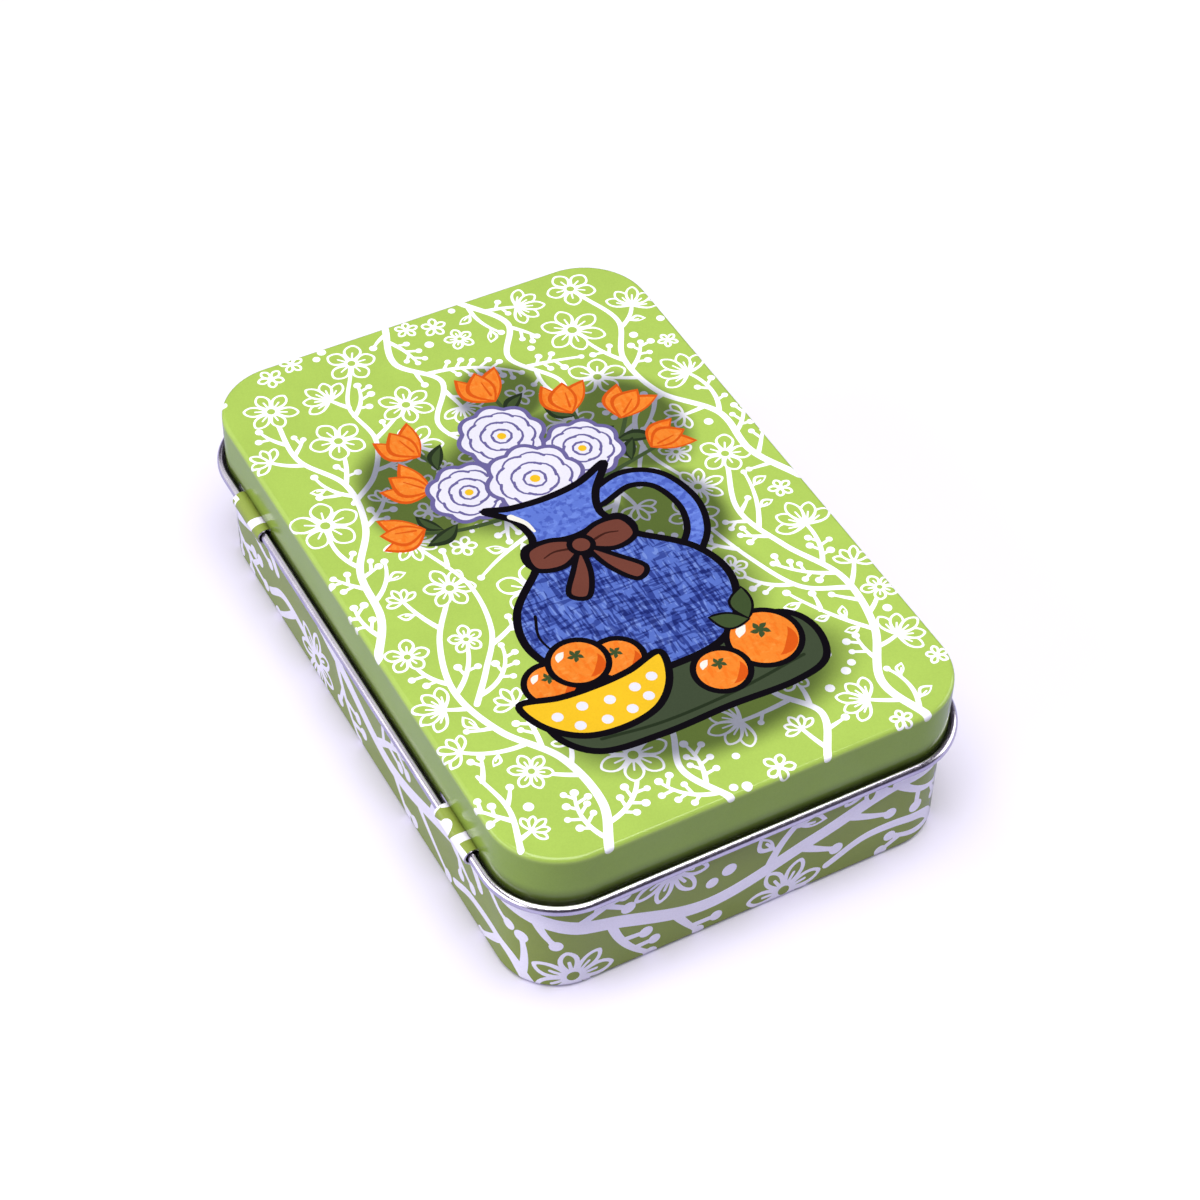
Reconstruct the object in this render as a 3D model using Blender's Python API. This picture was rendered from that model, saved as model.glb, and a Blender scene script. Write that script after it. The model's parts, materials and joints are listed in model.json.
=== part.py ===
"""Pocket-size trinket tin in tinplate: a drawn tray and a drawn lid on a rolled hinge.

The lid's lower edge is rolled outwards into a bead. Two tabs, cut from the tray's own
wall, pass under that bead, wrap round it and go back in through slots in the lid's skirt,
so the bead on the long +Y side is the hinge pin. There is no separate pin or hinge leaf.

X runs along the tin, +Y is the hinge side, +Z is up. The origin is the middle of the
overall footprint, on the surface that the tin stands on. Lengths are in metres.
"""
import math

import bmesh
import bpy

MM = 0.001

# Tinplate
SHEET = 0.25 * MM

# Tray: outer faces of the wall, its drawn corners and the raised floor panel
TRAY_LENGTH = 91.2 * MM
TRAY_WIDTH = 60.2 * MM
TRAY_CORNER_RADIUS = 7.9 * MM
TRAY_HEIGHT = 20.5 * MM
TRAY_BOTTOM_RADIUS = 0.9 * MM
FLOOR_MARGIN = 4.0 * MM
FLOOR_RISE = 0.5 * MM
FLOOR_STEP_RADIUS = 0.6 * MM
RIM_ROLL_RADIUS = 0.45 * MM
RIM_ROLL_TURN = math.radians(225)

# Lid: skirt outside the tray's wall, and the bead rolled outwards at its foot
TIN_HEIGHT = 25.0 * MM
LID_CLEARANCE = 0.5 * MM
LID_CORNER_RADIUS = 9.05 * MM
LID_EDGE_RADIUS = 0.6 * MM
BEAD_RADIUS = 0.72 * MM
BEAD_TURN = math.radians(270)
BEAD_HEIGHT = 16.6 * MM

# Hinge: two tabs of the tray's wall, wrapped round the lid's bead
TAB_SPACING = 59.4 * MM
TAB_SHIFT = -0.6 * MM
TAB_WIDTH = 7.9 * MM
TAB_SLIT = 0.4 * MM
TAB_LEAN = math.radians(35)
TAB_ROOT_RADIUS = 0.5 * MM
TAB_ROOT_OVERLAP = 1.0 * MM
TAB_WRAP_END = math.radians(190)
HINGE_CLEARANCE = 0.26 * MM
SLOT_WIDTH = 10.2 * MM
SLOT_FOOT = 0.3 * MM

# Fineness of the faceted solids
CORNER_STEPS = 9
BEND_STEP = math.radians(23)
SHADE_ANGLE = math.radians(40)
CUT_OVERRUN = 0.1 * MM

UP = math.radians(90)
OUT = 0.0
DOWN = math.radians(-90)

# Places that follow from the sizes above. Offsets are measured outwards from the tray's wall.
BEAD_OFFSET = LID_CLEARANCE + BEAD_RADIUS
BEAD_REACH = BEAD_OFFSET + BEAD_RADIUS
LID_OFFSET = LID_CLEARANCE + SHEET
WRAP_INNER_RADIUS = BEAD_RADIUS + HINGE_CLEARANCE
WRAP_OUTER_RADIUS = WRAP_INNER_RADIUS + SHEET
WRAP_REACH = BEAD_OFFSET + WRAP_OUTER_RADIUS
TIN_CENTRE_Y = -(WRAP_REACH - BEAD_REACH) / 2
HINGE_WALL_Y = TIN_CENTRE_Y + TRAY_WIDTH / 2
PIVOT_Y = HINGE_WALL_Y + BEAD_OFFSET
TAB_CENTRES = (TAB_SHIFT - TAB_SPACING / 2, TAB_SHIFT + TAB_SPACING / 2)
SLOT_CENTRES = (-TAB_SPACING / 2, TAB_SPACING / 2)


def clear_scene():
    for item in list(bpy.data.objects):
        bpy.data.objects.remove(item, do_unlink=True)


def finish(name, colour, roughness, metallic):
    material = bpy.data.materials.new(name)
    material.use_nodes = True
    shader = material.node_tree.nodes["Principled BSDF"]
    shader.inputs["Base Color"].default_value = (*colour, 1.0)
    shader.inputs["Roughness"].default_value = roughness
    shader.inputs["Metallic"].default_value = metallic
    return material


def walk_sheet(start, heading, moves):
    """Centre line of a bent sheet as (offset, height, heading) points.

    A move is ("run", length) or ("bend", radius, turn); a positive turn goes anticlockwise.
    """
    offset, height = start
    line = [(offset, height, heading)]
    for move in moves:
        if move[0] == "run":
            offset += move[1] * math.cos(heading)
            height += move[1] * math.sin(heading)
            line.append((offset, height, heading))
            continue
        radius, turn = move[1], move[2]
        side = math.copysign(UP, turn)
        centre_offset = offset + radius * math.cos(heading + side)
        centre_height = height + radius * math.sin(heading + side)
        steps = max(1, math.ceil(abs(turn) / BEND_STEP))
        for step in range(1, steps + 1):
            angle = heading + turn * step / steps
            offset = centre_offset - radius * math.cos(angle + side)
            height = centre_height - radius * math.sin(angle + side)
            line.append((offset, height, angle))
        heading += turn
    return line


def skin_of(line):
    """Both faces of the sheet: out along its right-hand face and back along its left."""
    half = SHEET / 2
    right = [(o + half * math.sin(h), z - half * math.cos(h)) for o, z, h in line]
    left = [(o - half * math.sin(h), z + half * math.cos(h)) for o, z, h in line]
    return right + left[::-1]


def ring_at(offset, height, length, width, corner_radius):
    """Rounded rectangle, offset outwards from a wall of this length, width and corner."""
    radius = corner_radius + offset
    reach_x = length / 2 - corner_radius
    reach_y = width / 2 - corner_radius
    points = []
    for quarter, (side_x, side_y) in enumerate(((1, 1), (-1, 1), (-1, -1), (1, -1))):
        for step in range(CORNER_STEPS + 1):
            angle = (quarter + step / CORNER_STEPS) * UP
            x = side_x * reach_x + radius * math.cos(angle)
            y = TIN_CENTRE_Y + side_y * reach_y + radius * math.sin(angle)
            points.append((x, y, height))
    return points


def mesh_object(name, shape):
    bmesh.ops.recalc_face_normals(shape, faces=shape.faces)
    mesh = bpy.data.meshes.new(name)
    shape.to_mesh(mesh)
    shape.free()
    item = bpy.data.objects.new(name, mesh)
    bpy.context.collection.objects.link(item)
    return item


def drawn_shell(name, profile, length, width, corner_radius):
    """A sheet profile carried round the rounded rectangle, closed by a panel at each end."""
    shape = bmesh.new()
    rings = []
    for offset, height in profile:
        points = ring_at(offset, height, length, width, corner_radius)
        rings.append([shape.verts.new(point) for point in points])
    for lower, upper in zip(rings, rings[1:]):
        for index in range(len(lower)):
            after = (index + 1) % len(lower)
            shape.faces.new((lower[index], lower[after], upper[after], upper[index]))
    shape.faces.new(rings[0])
    shape.faces.new(rings[-1])
    return mesh_object(name, shape)


def extruded(name, outline, x_from, x_to):
    """A (y, z) outline carried along X."""
    shape = bmesh.new()
    ends = [[shape.verts.new((x, y, z)) for y, z in outline] for x in (x_from, x_to)]
    for index in range(len(outline)):
        after = (index + 1) % len(outline)
        shape.faces.new((ends[0][index], ends[0][after], ends[1][after], ends[1][index]))
    shape.faces.new(ends[0])
    shape.faces.new(ends[1])
    return mesh_object(name, shape)


def box_outline(y_from, y_to, z_from, z_to):
    return [(y_from, z_from), (y_to, z_from), (y_to, z_to), (y_from, z_to)]


def combine(body, operand, operation):
    """Join or cut, and keep the operand only as a guide."""
    modifier = body.modifiers.new(operand.name, "BOOLEAN")
    modifier.operation = operation
    modifier.solver = "EXACT"
    modifier.object = operand
    operand.hide_render = True
    operand.display_type = "WIRE"


def tray_profile():
    """Floor panel, step down to the resting rim, wall, and the edge rolled inwards."""
    middle = SHEET / 2
    step_turn = math.acos(1 - FLOOR_RISE / (2 * FLOOR_STEP_RADIUS))
    bottom_radius = TRAY_BOTTOM_RADIUS - middle
    step_reach = 2 * FLOOR_STEP_RADIUS * math.sin(step_turn)
    wall_run = TRAY_HEIGHT - TRAY_BOTTOM_RADIUS - RIM_ROLL_RADIUS
    line = walk_sheet(
        (-FLOOR_MARGIN - step_reach, middle + FLOOR_RISE),
        OUT,
        [
            ("bend", FLOOR_STEP_RADIUS, -step_turn),
            ("bend", FLOOR_STEP_RADIUS, step_turn),
            ("run", FLOOR_MARGIN - TRAY_BOTTOM_RADIUS),
            ("bend", bottom_radius, UP),
            ("run", wall_run),
            ("bend", RIM_ROLL_RADIUS - middle, RIM_ROLL_TURN),
        ],
    )
    return skin_of(line)


def lid_profile():
    """Flat top, rounded edge, skirt, and the bead rolled outwards at its foot."""
    middle = SHEET / 2
    skirt_run = TIN_HEIGHT - LID_EDGE_RADIUS - BEAD_HEIGHT
    line = walk_sheet(
        (-LID_EDGE_RADIUS, TIN_HEIGHT - middle),
        OUT,
        [
            ("bend", LID_EDGE_RADIUS - middle, DOWN),
            ("run", skirt_run),
            ("bend", BEAD_RADIUS - middle, BEAD_TURN),
        ],
    )
    return skin_of(line)


def tab_line():
    """Centre line of a hinge tab, from the wall to its end inside the lid."""
    middle = SHEET / 2
    wrap_radius = WRAP_INNER_RADIUS + middle
    root_turn = UP - TAB_LEAN
    wrap_start = TAB_LEAN - UP
    reach = BEAD_OFFSET + wrap_radius * math.cos(wrap_start) + middle
    bend_reach = TAB_ROOT_RADIUS * (1 - math.cos(root_turn))
    lean_run = (reach - bend_reach) / math.cos(TAB_LEAN)
    bend_rise = TAB_ROOT_RADIUS * math.sin(root_turn)
    rise = bend_rise + lean_run * math.sin(TAB_LEAN)
    root_height = BEAD_HEIGHT + wrap_radius * math.sin(wrap_start) - rise
    line = walk_sheet(
        (-middle, root_height - TAB_ROOT_OVERLAP),
        UP,
        [
            ("run", TAB_ROOT_OVERLAP),
            ("bend", TAB_ROOT_RADIUS, -root_turn),
            ("run", lean_run),
            ("bend", wrap_radius, TAB_WRAP_END - wrap_start),
        ],
    )
    return line, root_height


def make_tray():
    tray = drawn_shell("base_tray", tray_profile(), TRAY_LENGTH, TRAY_WIDTH, TRAY_CORNER_RADIUS)
    line, root_height = tab_line()
    outline = [(HINGE_WALL_Y + offset, height) for offset, height in skin_of(line)]
    inner_y = HINGE_WALL_Y - 2 * RIM_ROLL_RADIUS - CUT_OVERRUN
    notch = box_outline(inner_y, HINGE_WALL_Y + CUT_OVERRUN, root_height, TRAY_HEIGHT + CUT_OVERRUN)
    for number, centre in enumerate(TAB_CENTRES, start=1):
        notch_half = TAB_WIDTH / 2 + TAB_SLIT
        cutter = extruded(f"tab_notch_{number}", notch, centre - notch_half, centre + notch_half)
        combine(tray, cutter, "DIFFERENCE")
    for number, centre in enumerate(TAB_CENTRES, start=1):
        tab = extruded(f"hinge_tab_{number}", outline, centre - TAB_WIDTH / 2, centre + TAB_WIDTH / 2)
        combine(tray, tab, "UNION")
    return tray


def make_lid():
    length = TRAY_LENGTH + 2 * LID_OFFSET
    width = TRAY_WIDTH + 2 * LID_OFFSET
    lid = drawn_shell("hinged_lid", lid_profile(), length, width, LID_CORNER_RADIUS)
    inner_y = HINGE_WALL_Y + LID_CLEARANCE - CUT_OVERRUN
    outer_y = HINGE_WALL_Y + LID_OFFSET + CUT_OVERRUN
    slot_head = WRAP_OUTER_RADIUS + HINGE_CLEARANCE
    slot = box_outline(inner_y, outer_y, BEAD_HEIGHT + SLOT_FOOT, BEAD_HEIGHT + slot_head)
    for number, centre in enumerate(SLOT_CENTRES, start=1):
        cutter = extruded(f"lid_slot_{number}", slot, centre - SLOT_WIDTH / 2, centre + SLOT_WIDTH / 2)
        combine(lid, cutter, "DIFFERENCE")
    return lid


def set_origin(item, y, z):
    """Move an object's origin to a point of its hinge axis and leave its shape in place."""
    for vertex in item.data.vertices:
        vertex.co.y -= y
        vertex.co.z -= z
    item.location = (0, y, z)


def shade(item, material):
    item.data.materials.append(material)
    item.data.shade_smooth()
    item.data.set_sharp_from_angle(angle=SHADE_ANGLE)


def main():
    clear_scene()
    tray = make_tray()
    lid = make_lid()
    set_origin(lid, PIVOT_Y, BEAD_HEIGHT)
    shade(tray, finish("olive_printed_tinplate", (0.15, 0.19, 0.06), 0.35, 0.0))
    shade(lid, finish("lime_printed_tinplate", (0.48, 0.70, 0.13), 0.35, 0.0))


main()
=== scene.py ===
"""Printed tinplate trinket tin: the sheet-metal shells with their print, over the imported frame.

Each stamping starts as a flat blank in the plane. The print is laid out on that blank, the
blank is cut into triangles along every edge of the print, and the triangles are then bent
into the tin. So the inks meet in one flush surface, and the print turns over the edges and
round the corners with the sheet. Lengths are in millimetres until a mesh is made.
"""
import json
import math
import random

import bpy
import numpy as np
from mathutils import Matrix, Vector
from mathutils.geometry import delaunay_2d_cdt


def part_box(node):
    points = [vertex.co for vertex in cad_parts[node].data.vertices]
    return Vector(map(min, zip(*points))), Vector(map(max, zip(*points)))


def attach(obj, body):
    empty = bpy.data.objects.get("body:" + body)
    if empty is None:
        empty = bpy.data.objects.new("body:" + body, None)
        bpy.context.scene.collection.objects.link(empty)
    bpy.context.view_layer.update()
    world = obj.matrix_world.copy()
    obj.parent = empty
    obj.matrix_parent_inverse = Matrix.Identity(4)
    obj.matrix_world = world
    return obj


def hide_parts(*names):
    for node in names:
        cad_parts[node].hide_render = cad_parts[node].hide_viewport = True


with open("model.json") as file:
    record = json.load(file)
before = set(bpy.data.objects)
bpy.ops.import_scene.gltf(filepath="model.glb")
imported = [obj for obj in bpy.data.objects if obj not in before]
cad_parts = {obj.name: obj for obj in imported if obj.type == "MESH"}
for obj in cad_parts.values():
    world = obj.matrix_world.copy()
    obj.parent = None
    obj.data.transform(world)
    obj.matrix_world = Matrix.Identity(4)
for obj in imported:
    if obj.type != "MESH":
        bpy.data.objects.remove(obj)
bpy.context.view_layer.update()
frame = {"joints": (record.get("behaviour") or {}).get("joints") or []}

METRES = 0.001
RIGHT_ANGLE = math.radians(90)

# Sheet and forming sizes of the tin, as in the solids
SHEET = 0.25
TRAY_LENGTH = 91.2
TRAY_WIDTH = 60.2
TRAY_CORNER = 7.9
TRAY_HEIGHT = 20.5
FOOT_RADIUS = 0.9
FLOOR_MARGIN = 4.0
FLOOR_RISE = 0.5
FLOOR_STEP_RADIUS = 0.6
RIM_RADIUS = 0.45
RIM_TURN = math.radians(225)
LID_CLEARANCE = 0.5
LID_CORNER = 9.05
LID_EDGE_RADIUS = 0.6
BEAD_RADIUS = 0.72
BEAD_TURN = math.radians(270)
TAB_CENTRES = (-30.3, 29.1)
TAB_WIDTH = 7.9
TAB_SLIT = 0.4
TAB_LEAN = math.radians(35)
TAB_ROOT_RADIUS = 0.5
TAB_WRAP_END = math.radians(190)
HINGE_CLEARANCE = 0.26
SLOT_CENTRES = (-29.7, 29.7)
SLOT_WIDTH = 10.2
SLOT_FOOT = 0.3

# Places read from the frame
HINGE = frame["joints"][0]
TIN_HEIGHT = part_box("hinged_lid")[1][2] / METRES
PIVOT_Y = HINGE["pos_m"][1] / METRES
BEAD_HEIGHT = HINGE["pos_m"][2] / METRES
LID_OFFSET = LID_CLEARANCE + SHEET
BEAD_OFFSET = LID_CLEARANCE + BEAD_RADIUS
CENTRE_Y = PIVOT_Y - BEAD_OFFSET - TRAY_WIDTH / 2
WRAP_RADIUS = BEAD_RADIUS + HINGE_CLEARANCE + SHEET / 2

# Fineness of the shells, and what counts as nothing
BEND_STEP = math.radians(10)
CORNER_STEPS = 18
CUT_MERGE = 1e-5
SIDE_OVERRUN = 1e-6
NO_STEP = 1e-9
NO_AREA = 1e-15


# The bent sheet, read by developed length


class SheetPath:
    """Centre line of a sheet across its edge: straight runs and round bends.

    A run is (length,) and a bend is (radius, turn), with a positive turn anticlockwise.
    The point at a developed length is each run along its heading, and for a bend its
    centre minus the radius turned with the sheet.
    """

    def __init__(self, offset, height, heading, moves):
        self.parts = []
        along = 0.0
        for move in moves:
            length = move[0] if len(move) == 1 else move[0] * abs(move[1])
            self.parts.append((along, length, offset, height, heading, move))
            ends = self.part_at(-1, np.array([length]))
            offset, height, heading = (float(value[0]) for value in ends)
            along += length
        self.length = along

    def part_at(self, number, gone):
        """(offset, height, heading) after a length gone along one run or bend."""
        _, length, offset, height, heading, move = self.parts[number]
        if len(move) == 1:
            turned = np.full_like(gone, heading)
            return offset + gone * math.cos(heading), height + gone * math.sin(heading), turned
        radius, turn = move
        side = math.copysign(RIGHT_ANGLE, turn)
        turned = heading + turn * gone / length
        across = math.cos(heading + side) - np.cos(turned + side)
        up = math.sin(heading + side) - np.sin(turned + side)
        return offset + radius * across, height + radius * up, turned

    def at(self, along):
        """(offset, height, heading) arrays at these developed lengths."""
        places = np.zeros((3, len(along)))
        for number, part in enumerate(self.parts):
            after = along >= part[0]
            places[:, after] = self.part_at(number, along[after] - part[0])
        return places

    def stops(self):
        """Developed lengths of every run's end and of small steps round every bend."""
        stops = [0.0]
        for start, length, _, _, _, move in self.parts:
            count = 1 if len(move) == 1 else math.ceil(abs(move[1]) / BEND_STEP)
            stops += [start + length * k / count for k in range(1, count + 1)]
        return stops

    def start_of(self, number):
        return self.parts[number][0]


def round_points(angle):
    """Points of the unit circle at an array of angles."""
    return np.column_stack((np.cos(angle), np.sin(angle)))


def ring(core, radius):
    """Rounded rectangle on the blank: a quarter circle about each corner of the core."""
    turn = np.linspace(0, RIGHT_ANGLE, CORNER_STEPS + 1)
    sides = ((1, 1), (-1, 1), (-1, -1), (1, -1))
    quarters = [side * core + radius * round_points(turn + k * RIGHT_ANGLE) for k, side in enumerate(sides)]
    return np.concatenate(quarters)


def rectangle(low_x, high_x, low_y, high_y):
    return np.array([(low_x, low_y), (high_x, low_y), (high_x, high_y), (low_x, high_y)])


class Stamping:
    """A flat blank and the drawn shell that it becomes.

    On the blank, the panel's flat reaches inner_radius from the core rectangle. Beyond it,
    the distance from the flat is the developed length along the sheet's path. The printed
    face is the sheet's left side, 1, or its right side, -1.
    """

    def __init__(self, core, corner_radius, path, printed_side):
        self.core = np.array(core)
        self.corner = corner_radius
        self.path = path
        self.inner_radius = corner_radius + path.parts[0][2]
        self.printed_side = printed_side
        self.tabs = []
        self.holes = []
        self.outline = ring(self.core, self.inner_radius + path.length)

    def along(self, blank):
        """Developed length beyond the panel's flat, negative inside it."""
        away = blank - np.clip(blank, -self.core, self.core)
        return np.hypot(away[:, 0], away[:, 1]) - self.inner_radius

    def formed(self, blank, side):
        """(points, normals) of one face of the sheet; side is 1 on the left and -1 on the right.

        A point is the core's nearest point, plus the way out from it times the corner's radius
        and the path's offset, at the path's height. Both are read at the length that the blank
        reaches past the panel's flat, and half the sheet is added square to the path's heading.
        """
        near = np.clip(blank, -self.core, self.core)
        away = blank - near
        reach = np.hypot(away[:, 0], away[:, 1])
        outward = away / np.maximum(reach, CUT_MERGE)[:, None]
        along = reach - self.inner_radius
        flat = along <= 0
        offset, height, heading = self.path.at(np.maximum(along, 0))
        for low_x, high_x, root, tab_path in self.tabs:
            on_tab = (blank[:, 0] > low_x - SIDE_OVERRUN) & (blank[:, 0] < high_x + SIDE_OVERRUN)
            on_tab &= (blank[:, 1] > 0) & (along > root)
            offset[on_tab], height[on_tab], heading[on_tab] = tab_path.at(along[on_tab] - root)
        half = side * SHEET / 2
        out = self.corner + offset - half * np.sin(heading)
        points = np.column_stack((near + outward * out[:, None], height + half * np.cos(heading)))
        points[flat, :2] = blank[flat]
        points[:, 1] += CENTRE_Y
        lean = -side * np.sin(heading)
        normals = np.column_stack((outward * lean[:, None], side * np.cos(heading)))
        normals[flat] = (0, 0, side)
        return points, normals

    def on_tabs(self, blank):
        """Whether points of the blank lie on one of its tabs."""
        along = self.along(blank)
        found = np.zeros(len(blank), dtype=bool)
        for low_x, high_x, root, _ in self.tabs:
            found |= (blank[:, 0] > low_x) & (blank[:, 0] < high_x) & (blank[:, 1] > 0) & (along > root)
        return found

    def guide_lines(self, boundaries):
        """Rings at every stop of the path, spokes through the corners and rows on the tabs."""
        lines = [ring(self.core, self.inner_radius + s) for s in self.path.stops()]
        lines += boundaries
        inner = ring(self.core, self.inner_radius)
        outer = ring(self.core, self.inner_radius + self.path.length)
        spokes = [np.array(ends) for ends in zip(inner, outer)]
        for low_x, high_x, root, tab_path in self.tabs:
            base = self.core[1] + self.inner_radius + root
            for stop in tab_path.stops():
                spokes.append(np.array([(low_x, base + stop), (high_x, base + stop)]))
        return lines, spokes


def planar_cut(faces, closed_lines, open_lines, points):
    """Triangles of the plane cut along every edge given, and the faces that hold each one."""
    corners, edges, loops, count = [], [], [], 0
    for group, kind in ((faces, "face"), (closed_lines, "closed"), (open_lines, "open")):
        for line in group:
            corners.append(line)
            last = count + len(line) - 1
            if kind == "face":
                loops.append(list(range(count, last + 1)))
            else:
                edges += [(k, k + 1) for k in range(count, last)]
            if kind == "closed":
                edges.append((last, count))
            count = last + 1
    if len(points):
        corners.append(points)
    cut = delaunay_2d_cdt(np.concatenate(corners), edges, loops, 1, CUT_MERGE, True)
    return np.array(cut[0]), np.array(cut[2]), cut[5]


def inside_blank(triangles, holders, hole_count):
    """Triangles in the blank's outline, face 0, and in none of its holes, the next faces."""
    kept = [k for k, held in enumerate(holders) if 0 in held and not any(0 < f <= hole_count for f in held)]
    return triangles[kept], [holders[k] for k in kept]


def border_of(triangles):
    """Directed edges that only one triangle has."""
    edges = np.concatenate((triangles[:, [0, 1]], triangles[:, [1, 2]], triangles[:, [2, 0]]))
    ordered = np.sort(edges, axis=1)
    _, first, count = np.unique(ordered, axis=0, return_index=True, return_counts=True)
    return edges[first[count == 1]]


def faces_per_edge(triangles):
    """For each triangle's three edges, how many of the triangles share that edge."""
    edges = np.sort(triangles[:, [[0, 1], [1, 2], [2, 0]]], axis=2).reshape(-1, 2)
    _, which, count = np.unique(edges, axis=0, return_inverse=True, return_counts=True)
    return count[which.reshape(-1)].reshape(-1, 3)


def without_flaps(back, others):
    """The back less its slivers past the rim, which stand off the closed shell by a free edge."""
    while True:
        shared = faces_per_edge(np.concatenate((back, others)))[: len(back)]
        flaps = (shared == 1).any(axis=1) & (shared > 2).any(axis=1)
        if not flaps.any():
            return back
        back = back[~flaps]


class Finish:
    """What is printed where: the base ink, the art, and the two lengths that bound the print.

    Outside the two developed lengths the sheet is bare. shift moves the outer one, as where
    a print sits a little askew.
    """

    def __init__(self, art, base_ink, print_limits, shift=(0.0, 0.0)):
        self.art = art
        self.base_ink = base_ink
        self.print_limits = print_limits
        self.shift = np.array(shift)

    def boundaries(self, stamping):
        inner, outer = self.print_limits
        inner_ring = ring(stamping.core, stamping.inner_radius + max(inner, 0.0))
        return [inner_ring, ring(stamping.core, stamping.inner_radius + outer) + self.shift]

    def inks_of(self, stamping, middles, holders, hole_count):
        """(ink names, which face has which ink, which face is bare)."""
        names = [self.base_ink, *(ink for _, ink in self.art.shapes)]
        highest = np.array([max(held) - hole_count for held in holders]).clip(0)
        bare = stamping.along(middles - self.shift) > self.print_limits[1]
        bare &= ~stamping.on_tabs(middles)
        bare |= stamping.along(middles) < self.print_limits[0]
        return names, highest, bare


def cut_edge_walls(border, partner):
    """Two triangles across the sheet's thickness for each edge of the front's border.

    partner is the back's point for each of the front's. Where two neighbours have the same
    one, a single triangle spans the edge.
    """
    start, end = border[:, 0], border[:, 1]
    first = np.column_stack((start, partner[start], partner[end]))
    first = first[first[:, 1] != first[:, 2]]
    return np.concatenate((first, np.column_stack((start, partner[end], end))))


def flat_normals(triangles, points):
    """For every corner, the unit cross product of two sides of its triangle."""
    corners = points[triangles]
    normals = np.cross(corners[:, 1] - corners[:, 0], corners[:, 2] - corners[:, 0])
    normals /= np.maximum(np.linalg.norm(normals, axis=1), NO_AREA)[:, None]
    return np.repeat(normals, 3, axis=0)


def ink_faces(mesh, ink_names, highest, bare):
    """Colour, pattern and printed shadow of each printed face; the rest is bare tinplate."""
    count, printed = len(mesh.polygons), len(highest)
    slots = np.ones(count, dtype=np.int32)
    slots[:printed] = bare
    mesh.polygons.foreach_set("material_index", slots)
    colour = np.ones((count, 3, 4))
    colour[:printed, :, :3] = np.array([INKS[ink][0] for ink in ink_names])[highest][:, None]
    mesh.attributes.new("ink", "FLOAT_COLOR", "CORNER").data.foreach_set("color", colour.ravel())
    for column, attribute in enumerate(("pattern", "shaded"), start=1):
        values = np.zeros((count, 3))
        values[:printed] = np.array([float(INKS[ink][column]) for ink in ink_names])[highest][:, None]
        mesh.attributes.new(attribute, "FLOAT", "CORNER").data.foreach_set("value", values.ravel())


def new_object(name, data):
    """An object of this name in the scene, with its mesh, light or camera."""
    made = bpy.data.objects.new(name, data)
    bpy.context.collection.objects.link(made)
    return made


def formed_shell(name, stamping, finish, materials):
    """The stamping as one closed mesh: printed face, bare face, and the cut edges between."""
    closed_lines, open_lines = stamping.guide_lines(finish.boundaries(stamping))
    cuts = [stamping.outline, *stamping.holes]
    shapes = [outline for outline, _ in finish.art.shapes]
    hole_count = len(stamping.holes)

    # cut flat: the front along its print too, the back with the same points on its border
    flat, front, holders = planar_cut([*cuts, *shapes], closed_lines, open_lines, ())
    front, holders = inside_blank(front, holders, hole_count)
    border = border_of(front)
    rim = flat[border[:, 0]]
    back_flat, *cut_back = planar_cut(cuts, closed_lines, open_lines, rim)
    back, _ = inside_blank(*cut_back, hole_count)
    used = np.unique(back)
    nearest = np.linalg.norm(rim[:, None] - back_flat[None, used], axis=2).argmin(axis=1)
    partner = np.zeros(len(flat), dtype=int)
    partner[border[:, 0]] = used[nearest] + len(flat)
    walls = cut_edge_walls(border, partner)
    back = without_flaps(back[:, ::-1] + len(flat), np.concatenate((front, walls)))
    inks = finish.inks_of(stamping, flat[front].mean(axis=1), holders, hole_count)

    # bend into the tin
    side = stamping.printed_side
    front_points, front_normals = stamping.formed(flat, side)
    back_points, back_normals = stamping.formed(back_flat, -side)
    points = np.concatenate((front_points, back_points)) * METRES
    if side < 0:
        front, back, walls = front[:, ::-1], back[:, ::-1], walls[:, ::-1]
    curved = np.concatenate((front_normals, back_normals))[np.concatenate((front, back)).ravel()]

    faces = np.concatenate((front, back, walls))
    mesh = bpy.data.meshes.new(name)
    mesh.from_pydata(points.tolist(), [], faces.tolist())
    for material in materials:
        mesh.materials.append(material)
    mesh.polygons.foreach_set("use_smooth", np.ones(len(faces), dtype=bool))
    ink_faces(mesh, *inks)
    mesh.normals_split_custom_set(np.concatenate((curved, flat_normals(walls, points))).tolist())
    return new_object(name, mesh)


# Inks


def linear(red, green, blue):
    """Linear colour of an 8-bit screen colour."""
    share = np.array((red, green, blue)) / 255
    return np.where(share <= 0.04045, share / 12.92, ((share + 0.055) / 1.055) ** 2.4)


LID_LIGHT = 1.4


def lit(red, green, blue):
    """Ink that shows as this screen colour in the light on the lid's top."""
    return linear(red, green, blue) / LID_LIGHT


PLAIN, SPECKLED, WOVEN, BRUSHED = range(4)

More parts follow.
